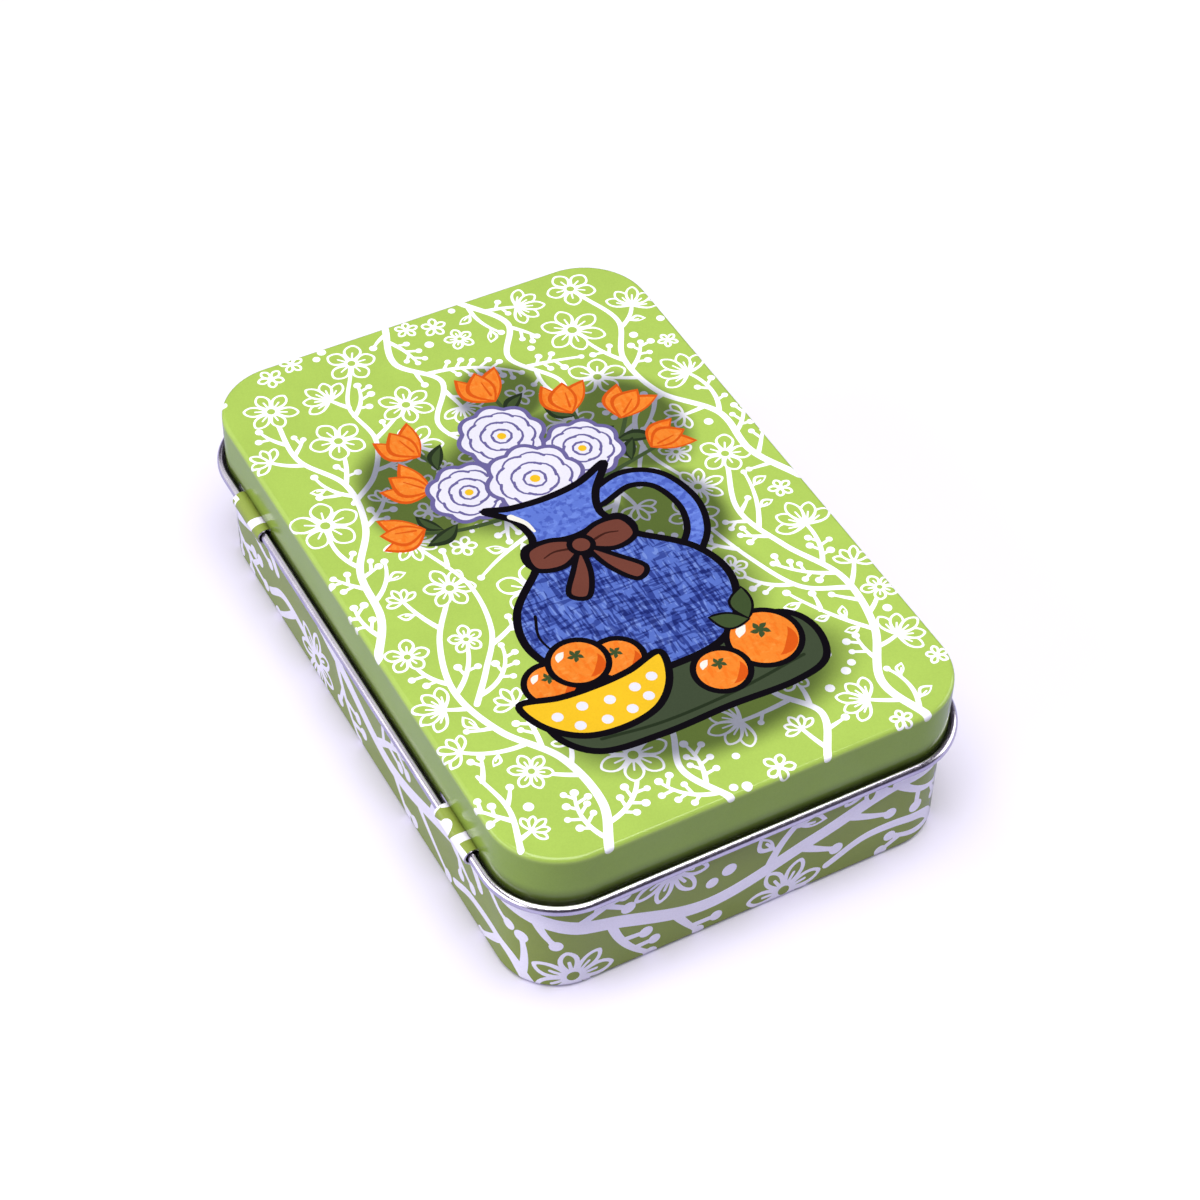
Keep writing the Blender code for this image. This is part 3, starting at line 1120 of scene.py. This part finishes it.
def bare_tinplate():
    """Bright tinplate: fine rolling streaks along the sheet, and faint stains."""
    material, nodes, shader = new_material("bare_tinplate")
    place = nodes.place()
    stain = nodes.remap(nodes.noise(place, STAIN_SIZE, 4.0), 0.35, NOISE_HIGH)
    streak = nodes.noise(place, STREAK_SIZE, 2.0, STREAK_STRETCH)
    clean, stained = (0.78, 0.75, 0.82, 1.0), (0.66, 0.62, 0.72, 1.0)
    nodes.feed(shader.inputs["Base Color"], nodes.mix(stain, clean, stained))
    shader.inputs["Metallic"].default_value = 1.0
    nodes.feed(shader.inputs["Roughness"], varied(nodes, streak, 0.20, 0.27))
    nodes.feed(shader.inputs["Normal"], bump(nodes, streak, 0.04, 0.000003))
    return material


# The two stampings


def make_tray_stamping():
    middle = SHEET / 2
    step_turn = math.acos(1 - FLOOR_RISE / (2 * FLOOR_STEP_RADIUS))
    step_reach = 2 * FLOOR_STEP_RADIUS * math.sin(step_turn)
    path = SheetPath(
        -FLOOR_MARGIN - step_reach,
        middle + FLOOR_RISE,
        0.0,
        [
            (FLOOR_STEP_RADIUS, -step_turn),
            (FLOOR_STEP_RADIUS, step_turn),
            (FLOOR_MARGIN - FOOT_RADIUS,),
            (FOOT_RADIUS - middle, RIGHT_ANGLE),
            (TRAY_HEIGHT - FOOT_RADIUS - RIM_RADIUS,),
            (RIM_RADIUS - middle, RIM_TURN),
        ],
    )
    core = (TRAY_LENGTH / 2 - TRAY_CORNER, TRAY_WIDTH / 2 - TRAY_CORNER)
    tray = Stamping(core, TRAY_CORNER, path, -1)

    wrap_start = TAB_LEAN - RIGHT_ANGLE
    root_turn = RIGHT_ANGLE - TAB_LEAN
    reach = BEAD_OFFSET + WRAP_RADIUS * math.cos(wrap_start) + middle
    lean_run = (reach - TAB_ROOT_RADIUS * (1 - math.cos(root_turn))) / math.cos(TAB_LEAN)
    rise = TAB_ROOT_RADIUS * math.sin(root_turn) + lean_run * math.sin(TAB_LEAN)
    root_height = BEAD_HEIGHT + WRAP_RADIUS * math.sin(wrap_start) - rise
    moves = [(TAB_ROOT_RADIUS, -root_turn), (lean_run,), (WRAP_RADIUS, TAB_WRAP_END - wrap_start)]
    tab_path = SheetPath(-middle, root_height, RIGHT_ANGLE, moves)
    root = path.start_of(4) + root_height - FOOT_RADIUS

    outline = [tuple(p) for p in ring(tray.core, tray.inner_radius + path.length)]
    base = tray.core[1] + tray.inner_radius
    steps = []
    for centre in sorted(TAB_CENTRES, reverse=True):
        low_x, high_x = centre - TAB_WIDTH / 2, centre + TAB_WIDTH / 2
        tray.tabs.append((low_x, high_x, root, tab_path))
        steps += [(high_x + TAB_SLIT, base + path.length), (high_x + TAB_SLIT, base + root)]
        steps += [(high_x, base + root), (high_x, base + root + tab_path.length)]
        steps += [(low_x, base + root + tab_path.length), (low_x, base + root)]
        steps += [(low_x - TAB_SLIT, base + root), (low_x - TAB_SLIT, base + path.length)]
    corner_points = CORNER_STEPS + 1
    tray.outline = np.array(outline[:corner_points] + steps + outline[corner_points:])
    return tray


def make_lid_stamping():
    middle = SHEET / 2
    path = SheetPath(
        -LID_EDGE_RADIUS,
        TIN_HEIGHT - middle,
        0.0,
        [
            (LID_EDGE_RADIUS - middle, -RIGHT_ANGLE),
            (TIN_HEIGHT - LID_EDGE_RADIUS - BEAD_HEIGHT,),
            (BEAD_RADIUS - middle, BEAD_TURN),
        ],
    )
    half_length, half_width = TRAY_LENGTH / 2 + LID_OFFSET, TRAY_WIDTH / 2 + LID_OFFSET
    lid = Stamping((half_length - LID_CORNER, half_width - LID_CORNER), LID_CORNER, path, 1)
    skirt_foot = lid.core[1] + lid.inner_radius + path.start_of(2)
    slot_head = BEAD_RADIUS + 2 * HINGE_CLEARANCE + SHEET
    for centre in SLOT_CENTRES:
        low_x, high_x = centre - SLOT_WIDTH / 2, centre + SLOT_WIDTH / 2
        lid.holes.append(rectangle(low_x, high_x, skirt_foot - slot_head, skirt_foot - SLOT_FOOT))
    return lid


# The print


def lid_art_to_blank(points):
    """The picture's right is -Y and its top is +X."""
    return np.column_stack((points[:, 1], -points[:, 0]))


def wall_art_to_blank(tray):
    """Art of the wall is (distance round the wall, height above the foot's bend)."""
    half_x, half_y = tray.core
    quarter = RIGHT_ANGLE * tray.corner
    runs = [half_x, quarter, 2 * half_y, quarter, 2 * half_x, quarter, 2 * half_y, quarter, half_x]
    stops = np.concatenate(([0], np.cumsum(runs)))
    side_x = np.array([0, -1, -1, -1, -1, 1, 1, 1, 1, 0]) * half_x
    side_y = np.array([1, 1, 1, -1, -1, -1, -1, 1, 1, 1]) * half_y
    angle = RIGHT_ANGLE * np.array([1, 1, 2, 2, 3, 3, 4, 4, 5, 5])
    foot = tray.inner_radius + tray.path.start_of(4)

    def to_blank(points):
        round_wall = (points[:, 0] + stops[-1] / 2) % stops[-1]
        near = np.column_stack((np.interp(round_wall, stops, side_x), np.interp(round_wall, stops, side_y)))
        turned = np.interp(round_wall, stops, angle)
        reach = (foot + points[:, 1])[:, None]
        return near + reach * round_points(turned)

    return to_blank, stops[-1]


LID_SCROLL_TURN = 1.45


def lid_room(lid):
    """How far points lie inside the lid's printed field, which turns a little over its edge."""
    core = lid.core[::-1]
    reach = lid.inner_radius + LID_SCROLL_TURN

    def room(points):
        away = np.abs(points) - core
        outside = np.hypot(*np.maximum(away, 0).T)
        return reach - outside - np.minimum(away.max(axis=1), 0)

    return room


# Vines of the lid: knots (right, up) from its middle, and the widths at the two ends
LID_VINES = [
    ([(-20, -46.3), (-17.5, -40), (-18.5, -32), (-23, -25), (-25, -17), (-23, -9), (-19, -3)], 1.45, 0.8),
    ([(-23.5, -20), (-20, -15.5), (-16.5, -10), (-15.5, -2), (-18, 6)], 1.0, 0.6),
    ([(-30.7, -8), (-27.5, -2), (-26.5, 6), (-22.5, 13), (-21.5, 21), (-25, 28), (-24.5, 36)], 1.35, 0.8),
    ([(-22, 17.5), (-17.5, 21), (-14.5, 27), (-15, 34), (-12, 40)], 1.0, 0.6),
    ([(23, -46.3), (21, -39), (25, -31), (26, -22), (22.5, -14), (20.5, -6), (23.5, 2)], 1.45, 0.8),
    ([(25.8, -24), (20.5, -21), (17.5, -14), (15.5, -6)], 1.0, 0.6),
    ([(30.7, -4), (27.5, 3), (27.5, 11), (22.5, 18), (21.5, 26), (24.5, 33), (22.5, 40)], 1.35, 0.8),
    ([(22.6, 17.5), (17.5, 15.5), (15.5, 9), (17.5, 2)], 1.0, 0.6),
    ([(-29, -42), (-27.5, -36), (-28.5, -30)], 1.0, 0.6),
    ([(-4, -46.3), (-7, -40), (-5, -33), (-9, -26)], 1.2, 0.7),
    ([(9, -46.3), (12, -40), (8.5, -34), (11, -27), (8, -20)], 1.2, 0.7),
    ([(-4, 46.3), (-6, 39), (-2, 33), (-6, 26), (-4, 20)], 1.2, 0.7),
    ([(7, 46.3), (11, 39.5), (8, 33), (12, 26), (10, 20)], 1.2, 0.7),
    ([(-9, 12), (-4, 7), (-5, 0), (-1, -6), (-3, -14)], 1.1, 0.7),
    ([(7, 12), (9, 5), (5, -2), (8, -10)], 1.1, 0.7),
]


SPRIG_SPACING = 2.4
SECOND_SPACING = 1.25 * SPRIG_SPACING
SPRIG_ANGLES = (36, 62)


def grow_sprigs(scroll):
    """Sprigs on every vine, and then on every sprig that is long enough."""
    done = 0
    while done < len(scroll.stems):
        line, depth = scroll.stems[done]
        spacing = SPRIG_SPACING if depth == 0 else SECOND_SPACING
        scroll.grow(line, spacing * scroll.scale, SPRIG_ANGLES)
        done += 1


LID_VINE_WIDTH = 0.8
LID_FIELD = ((-31, -47), (31, 47))


def make_lid_print(lid):
    art = Print(lid_art_to_blank)
    scroll = Scroll(art, "white", "lime", lid_room(lid), seed=7, scale=1.0)
    for knots, start, end in LID_VINES:
        scroll.vine(knots, LID_VINE_WIDTH * start, LID_VINE_WIDTH * end)
    grow_sprigs(scroll)
    scroll.fill(*LID_FIELD, tries=900, smallest_flower=1.75)
    make_picture(art)
    return art


# The picture: places are (right, up) from the lid's middle
STEMS = [
    [(-3, 6), (-9, 10), (-14, 17)],
    [(-3, 6), (-8, 14), (-11.5, 24)],
    [(-2, 6), (-12, 7), (-18.5, 9.5)],
    [(3, 6), (9, 13), (11, 22)],
    [(3, 6), (12, 11), (17.5, 17.5)],
    [(1, 6), (3, 18), (2.5, 29)],
    [(3, 6), (12, 8), (19, 9.5)],
]
# (foot, degrees, length)
LEAVES = [
    ((-8, 13), 160, 5.5), ((-10, 18), 60, 5), ((-12, 8.2), 200, 5.5), ((8.5, 13), 20, 6),
    ((10.5, 19), 130, 4.6), ((13, 12.5), -18, 5.4), ((2.6, 23), 40, 5), ((2.8, 21), 150, 5),
    ((-14, 8), 120, 4.4), ((13, 8.3), 60, 4.4),
]
# (middle, degrees, size)
TULIPS = [
    ((-14.3, 17.5), 130, 3.9), ((-11.7, 24.5), 105, 3.9), ((-19, 10), 165, 3.7), ((11.2, 22.8), 75, 3.9),
    ((18, 18), 40, 3.9), ((2.5, 29.6), 90, 4.0), ((19.3, 9.8), 10, 3.6),
]
# (middle, radius, turn)
BLOSSOMS = [
    ((-8.2, 12.6), 5.2, 0.2), ((8.4, 13.2), 5.2, 0.9), ((0.2, 20.0), 5.6, 0.5), ((0.4, 11.0), 6.2, 1.3),
]
# Rows of strokes in a blossom: (share of its radius, count, length)
BLOSSOM_RINGS = [(0.72, 9, 0.3), (0.45, 6, 0.32), (0.22, 3, 0.35)]
JUG_BELLY = [
    (-5.5, -2), (-7.5, -4), (-12.5, -9), (-14, -15), (-11.5, -21), (-7, -24.5), (0, -25.2), (7, -24.5),
    (11.5, -21), (14, -15), (12.5, -9), (7.5, -4), (5.5, -2), (0, -1.4),
]
JUG_NECK = [
    (-5.6, -1.5), (-4.9, 2), (-5.6, 5.5), (-8.2, 8.6), (-5, 7.6), (0, 7.2), (5, 7.8), (9.6, 9.6), (6.2, 5.5),
    (4.9, 2), (5.6, -1.5), (0, -2.3),
]
JUG_HANDLE = [(5.6, 4.2), (10.5, 5.6), (14.2, 3.6), (15.6, -1.5), (14.4, -6.2), (11.5, -9.6)]
RIBBON_BAND = [(-6.4, 0.4), (0, -0.5), (6.4, 0.4), (6.9, -3.4), (0, -4.3), (-6.9, -3.4)]
RIBBON_FOLD = [(-6.2, -1.6), (0, -2.6), (6.2, -1.6)]
# Right half of the bow; the left half is its mirror image
BOW_LOOP = [(0, -2), (3, 0.2), (6.6, -0.2), (7, -3.6), (3.4, -4.6)]
BOW_TAIL = [(0.6, -3), (1.2, -7), (3.4, -10.6), (5.4, -9.2), (3.2, -6)]
BOW_FOLD = [(1.6, -2.2), (3.6, -1.8), (5.2, -2.2)]
BOW_KNOT = ((0, -2.2), 1.5)
NECK_SHINE = [(-5.6, 6.2), (-4.4, 4.4), (-4.1, 2.6)]
BELLY_CREASE = [(-10.8, -10.5), (-12.0, -14), (-11.2, -18)]
CUSHION = [
    (-15.5, -24), (-17.6, -28.5), (-14, -33.2), (-6, -34.2), (3, -34), (12, -34.2), (17.2, -32.6),
    (18.6, -27.5), (16, -23.5), (8, -22.4), (0, -22),
]
CUSHION_SEAM = [(-13, -31.6), (-5, -32.6), (5, -32.3), (15, -31)]
BOWL = [
    (-19.2, -22.5), (-18.2, -26.8), (-14.6, -30.2), (-9.6, -31.2), (-4.6, -30.2), (-1.2, -26.8),
    (-0.2, -22.5), (-5, -23.6), (-9.7, -23.9), (-14.4, -23.6),
]
BOWL_DOTS = [
    (-16, -26.2), (-12.6, -26.0), (-9.2, -26.6), (-5.6, -26.2), (-3, -25.6), (-14.2, -28.6), (-10.9, -29.2),
    (-7.5, -29.1), (-4.8, -28.2),
]
BOWL_DOT_RADIUS = 0.72
FRUIT_IN_BOWL = [((-14.2, -21.2), 3.3), ((-5.2, -21.2), 3.3), ((-9.7, -19.6), 3.7)]
FRUIT_BESIDE = [((12.2, -26.4), 4.6), ((5.0, -28.6), 3.5)]
FRUIT_LEAVES = [((12.2, -22.6), 70, 5.0), ((12.0, -22.8), 150, 4.6)]


def outlined(art, outline, ink, line_width):
    """A closed shape with a dark line of even width along its edge."""
    art.paint(grown(outline, line_width / 2), "outline")
    art.paint(grown(outline, -line_width / 2), ink)


def outlined_curve(art, knots, spacing, ink, line_width):
    outlined(art, smooth_line(knots, spacing, True), ink, line_width)


def line_on(art, knots, ink, width_start, width_end=None):
    art.paint(ribbon(smooth_line(knots), width_start, width_end), ink)


def along_heading(place, degrees):
    """(place as an array, angle in radians)."""
    return np.array(place, float), math.radians(degrees)


def blossom(art, centre, radius, turn):
    """A full white blossom: scalloped rings round a small heart, with short curved strokes."""
    angle = np.linspace(0, 2 * math.pi, 72, endpoint=False)
    scallop = 0.9 + 0.13 * np.abs(np.sin(4 * (angle + turn)))
    rim = centre + (radius * scallop)[:, None] * round_points(angle)
    art.paint(grown(rim, 0.3), "violet")
    art.paint(grown(rim, -0.32), "blossom")
    for ring_share, count, length in BLOSSOM_RINGS:
        for k in range(count):
            start = turn + 2 * math.pi * k / count + 1.3 * ring_share
            sweep = np.linspace(start, start + 1.9 * length / ring_share, 6)
            reach = ring_share * radius * (1 + 0.1 * np.sin(np.linspace(0, math.pi, 6)))
            art.paint(ribbon(centre + reach[:, None] * round_points(sweep), 0.42, 0.2), "violet")
    art.paint(circle(centre, 0.11 * radius), "yellow")


def tulip(art, centre, heading, size):
    """A small tulip: two outer petals that lean apart, and a broad one in front."""
    foot = centre - 0.85 * size * direction(heading)
    for lean, length, width in ((-0.44, 1.75, 0.8), (0.44, 1.75, 0.8), (0.0, 1.6, 1.0)):
        angle = heading + lean
        art.paint(leaf(foot, angle, length * size, width * size), "deep_orange")
        inner = foot + 0.1 * size * direction(angle)
        art.paint(leaf(inner, angle, 0.86 * length * size, 0.76 * width * size), "orange")
    rib = np.linspace(foot + 0.35 * size * direction(heading), foot + 1.05 * size * direction(heading), 3)
    art.paint(ribbon(rib, 0.34, 0.16), "deep_orange")


def orange(art, centre, radius):
    """A round fruit: a streak of light near one rim, a band of shade along the other, a calyx."""
    outlined(art, circle(centre, radius), "orange", 0.8)
    shade, shine = (-1.5, 0.1, 0.74, 0.16, "deep_orange"), (1.9, 2.7, 0.66, 0.13, "cream")
    for first, last, reach, width, ink in (shade, shine):
        angle = np.linspace(first, last, 9)
        width *= radius * np.sin(np.linspace(0, math.pi, 9))[:, None]
        outward = round_points(angle)
        art.paint(loop_about(centre + reach * radius * outward, -width * outward), ink)
    for k in range(5):
        tip = centre + radius * np.array((0.05, 0.3))
        art.paint(leaf(tip, 0.5 + 2 * math.pi * k / 5, 0.3 * radius, 0.16 * radius), "leaf")


def paint_bouquet(art):
    for knots in STEMS:
        line_on(art, knots, "leaf", 0.75, 0.55)
    for foot, degrees, length in LEAVES:
        foot, angle = along_heading(foot, degrees)
        art.paint(leaf(foot, angle, length, 0.42 * length), "dark_leaf")
        art.paint(leaf(foot + 0.25 * direction(angle), angle, 0.82 * length, 0.2 * length), "leaf")
    for centre, degrees, size in TULIPS:
        tulip(art, *along_heading(centre, degrees), size)
    for centre, radius, turn in BLOSSOMS:
        blossom(art, np.array(centre), radius, turn)


def paint_jug(art):
    handle = smooth_line(JUG_HANDLE)
    art.paint(ribbon(handle, 3.6, 3.4), "outline")
    art.paint(ribbon(handle, 1.8, 1.6), "speckled_blue")
    outlined_curve(art, JUG_BELLY, 0.7, "woven_blue", 1.05)
    outlined_curve(art, JUG_NECK, 0.5, "speckled_blue", 1.05)
    outlined_curve(art, RIBBON_BAND, 0.5, "brown", 0.9)
    line_on(art, RIBBON_FOLD, "dark_brown", 0.3)
    for side in (-1, 1):
        tail, loop, fold = ([(side * x, y) for x, y in line] for line in (BOW_TAIL, BOW_LOOP, BOW_FOLD))
        outlined_curve(art, tail, 0.4, "brown", 0.75)
        outlined_curve(art, loop, 0.4, "brown", 0.8)
        line_on(art, fold, "dark_brown", 0.4, 0.2)
    outlined(art, circle(*BOW_KNOT), "brown", 0.75)
    line_on(art, NECK_SHINE, "cream", 0.9, 0.4)
    line_on(art, BELLY_CREASE, "outline", 0.42, 0.25)


def paint_fruit(art):
    """The bowl of oranges, and the fruit beside it with two leaves."""
    for centre, radius in FRUIT_IN_BOWL:
        orange(art, np.array(centre), radius)
    outlined_curve(art, BOWL, 0.6, "yellow", 0.95)
    for place in BOWL_DOTS:
        art.paint(circle(place, BOWL_DOT_RADIUS), "blossom")
    for centre, radius in FRUIT_BESIDE:
        orange(art, np.array(centre), radius)
    for foot, degrees, length in FRUIT_LEAVES:
        foot, angle = along_heading(foot, degrees)
        blade = leaf(foot, angle, length, 0.5 * length)
        art.paint(grown(blade, 0.35), "outline")
        art.paint(blade, "leaf")


def make_picture(art):
    """A still life: a jug of flowers behind a bowl of oranges, on a cushion."""
    paint_bouquet(art)
    outlined_curve(art, CUSHION, 0.7, "olive", 0.95)
    line_on(art, CUSHION_SEAM, "dark_leaf", 0.45)
    paint_jug(art)
    paint_fruit(art)


# Vines of the tray's wall: knots (distance round it from the middle of the -Y side, height)
WALL_VINES = [
    ([(0, 6), (14, 11), (30, 6.5), (46, 11), (62, 14), (78, 8), (92, 4.5), (107, 8), (121, 13), (137, 9.5),
      (153, 4.5), (168, 8.5), (183, 13), (197, 9), (211, 4.5), (226, 8.5), (240, 12.5), (256, 9), (272, 4.5),
      (289.2, 6)], 1.15, 1.15),
    ([(36, -1.2), (43, 3.2), (53, 3.4), (60, 7)], 0.9, 0.6),
    ([(119, 8), (115.5, 13), (117.5, 19), (114, 23)], 0.8, 0.6),
    ([(133, -1.2), (129, 3.5), (121, 5), (116, 2)], 0.9, 0.6),
    ([(178, 8), (174.5, 13), (176.5, 19), (172, 23)], 0.8, 0.6),
    ([(188, -1.2), (184, 3.6), (176, 3.6), (171, 1.5)], 0.9, 0.6),
    ([(203, 23), (205, 17), (213, 14.5), (220, 16.5)], 0.9, 0.6),
    ([(246, -1.2), (242, 3.6), (234, 4.6), (228, 2)], 0.9, 0.6),
    ([(66, 23), (70, 17), (79, 16), (87, 18.5)], 0.9, 0.6),
    ([(262, 23), (266, 17), (275, 15.5), (283, 18)], 0.9, 0.6),
]

# Flowers laid between them before the sprigs grow: (place, radius)
WALL_FLOWERS = [
    ((96, 14.5), 5.6), ((131, 2.8), 5.2), ((146, 15.5), 5.8), ((160, 15), 4.6), ((193, 1.2), 5.4),
    ((206, 13.5), 5.6), ((222, 0.6), 5.4), ((234, 15.5), 5.2), ((253, 17), 5.4), ((30, 15.5), 5.6),
]

# Lowest and highest art on the wall, measured from the foot's bend
WALL_FIELD = (-1.3, 23.0)


def make_wall_print(tray):
    to_blank, girth = wall_art_to_blank(tray)
    art = Print(to_blank)
    low, high = WALL_FIELD

    def room(points):
        return np.minimum(points[:, 1] - low, high - points[:, 1])

    scroll = Scroll(art, "lilac", "olive_green", room, seed=11, scale=1.9)
    for knots, start, end in WALL_VINES:
        scroll.vine(knots, start, end)
    for centre, radius in WALL_FLOWERS:
        scroll.flower(np.array(centre), radius)
    grow_sprigs(scroll)
    scroll.fill((0, low), (girth, high), tries=500, smallest_flower=1.8)
    return art


# Camera, light and floor

CAMERA_PLACE = (-0.22385, 0.12152, 0.27934)
CAMERA_HEADING = math.radians(-29.35)
CAMERA_DROP = math.radians(46.26)
CAMERA_ROLL = math.radians(1.3)
CAMERA_LENS = 86.26
CAMERA_SENSOR = 36.0


def place_camera():
    """A camera at its place, looking along its heading and down, then rolled."""
    forward = np.array(
        (
            math.cos(CAMERA_DROP) * math.cos(CAMERA_HEADING),
            math.cos(CAMERA_DROP) * math.sin(CAMERA_HEADING),
            -math.sin(CAMERA_DROP),
        )
    )
    level = np.cross(forward, (0, 0, 1))
    level /= np.linalg.norm(level)
    above = np.cross(level, forward)
    right = math.cos(CAMERA_ROLL) * level + math.sin(CAMERA_ROLL) * above
    up = math.cos(CAMERA_ROLL) * above - math.sin(CAMERA_ROLL) * level
    camera = bpy.data.cameras.new("camera")
    camera.lens = CAMERA_LENS
    camera.sensor_width = CAMERA_SENSOR
    camera.clip_start = 0.01
    holder = new_object("camera", camera)
    turned = np.identity(4)
    turned[:3, 0], turned[:3, 1], turned[:3, 2], turned[:3, 3] = right, up, -forward, CAMERA_PLACE
    holder.matrix_world = Matrix(turned.tolist())
    bpy.context.scene.camera = holder


# Soft panels that face the tin: name, place, size and power in watts
PANELS = [
    ("ceiling_panel", (-0.14, 0.08, 0.89), (0.8, 0.8), 10.4),
    ("rear_card", (0.78, 0.29, 0.86), (0.7, 0.5), 0.8),
    ("left_card", (0.75, 0.95, 0.40), (1.4, 0.8), 2.8),
    ("left_window", (0.05, 0.75, 0.30), (0.9, 0.5), 3.3),
    ("right_card", (-0.12, -0.50, 0.22), (0.4, 0.3), 1.1),
]
ROOM_LIGHT = (0.12, 0.12, 0.14, 1.0)
ROOM_REFLECTED = (0.045, 0.035, 0.06, 1.0)
WHITE = (1.0, 1.0, 1.0, 1.0)


def soft_panel(name, place, size, power):
    light = bpy.data.lights.new(name, "AREA")
    light.shape = "RECTANGLE"
    light.size, light.size_y = size
    light.energy = power
    holder = new_object(name, light)
    holder.location = place
    holder.rotation_euler = Vector(place).to_track_quat("Z", "Y").to_euler()


def light_scene():
    """A dim room, white only where the camera looks straight at it, and the soft panels.

    The ceiling panel gives most of the light. The window lights the hinge side, and the
    cards show in the bead and the varnish.
    """
    world = bpy.data.worlds.new("studio")
    bpy.context.scene.world = world
    world.use_nodes = True
    nodes = Nodes(world.node_tree)
    background = world.node_tree.nodes["Background"]
    path = nodes.add("ShaderNodeLightPath").outputs
    reflected = nodes.mix(path["Is Glossy Ray"], ROOM_LIGHT, ROOM_REFLECTED)
    nodes.feed(background.inputs["Color"], nodes.mix(path["Is Camera Ray"], reflected, WHITE))
    for panel in PANELS:
        soft_panel(*panel)


FLOOR_REACH = 3.0
FLOOR_COLOUR = (0.765, 0.73, 0.85, 1.0)
FLOOR_BOUNCE = (0.40, 0.38, 0.56, 1.0)
# The floor's own glow to the camera: faint round the tin, and white from a distance on
FLOOR_GLOW_NEAR, FLOOR_NEAR = 0.02, 0.17
FLOOR_GLOW_FAR, FLOOR_FAR = 1.25, 0.45


def make_floor():
    """A wide pale floor: near white to the camera, and darker where it only bounces light."""
    mesh = bpy.data.meshes.new("floor")
    corners = [(x * FLOOR_REACH, y * FLOOR_REACH, 0) for x, y in ((-1, -1), (1, -1), (1, 1), (-1, 1))]
    mesh.from_pydata(corners, [], [(0, 1, 2, 3)])
    floor = new_object("floor", mesh)
    material, nodes, shader = new_material("pale_floor")
    shader.inputs["Roughness"].default_value = 1.0
    shader.inputs["Specular IOR Level"].default_value = 0.0
    seen = nodes.add("ShaderNodeLightPath").outputs["Is Camera Ray"]
    nodes.feed(shader.inputs["Base Color"], nodes.mix(seen, FLOOR_BOUNCE, FLOOR_COLOUR))
    shader.inputs["Emission Color"].default_value = FLOOR_COLOUR
    away = nodes.vector_math("LENGTH", nodes.place())["Value"]
    glow = nodes.remap(away, FLOOR_NEAR, FLOOR_FAR, FLOOR_GLOW_NEAR, FLOOR_GLOW_FAR)
    nodes.feed(shader.inputs["Emission Strength"], nodes.math("MULTIPLY", seen, glow))
    mesh.materials.append(material)


# How far the print runs past the bends of the foot, rim and bead, and how the lid's sits askew
FOOT_PRINT = 0.9
RIM_PRINT = -0.8
BEAD_PRINT = 0.15
LID_PRINT_SHIFT = (0.0, -0.2)


def main():
    place_camera()
    light_scene()
    make_floor()
    tinplate = bare_tinplate()

    tray = make_tray_stamping()
    limits = (tray.path.start_of(4) - FOOT_PRINT, tray.path.start_of(5) + RIM_PRINT)
    finish = Finish(make_wall_print(tray), "olive_green", limits)
    tray_shell = formed_shell("tray_shell", tray, finish, [printed_varnish("tray_varnish", False), tinplate])
    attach(tray_shell, "tray")
    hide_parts("base_tray")

    lid = make_lid_stamping()
    limits = (-math.inf, lid.path.start_of(2) + BEAD_PRINT)
    finish = Finish(make_lid_print(lid), "lime", limits, LID_PRINT_SHIFT)
    lid_shell = formed_shell("lid_shell", lid, finish, [printed_varnish("lid_varnish", True), tinplate])
    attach(lid_shell, "lid")
    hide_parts("hinged_lid")

    bpy.context.scene.view_settings.view_transform = "Standard"


main()
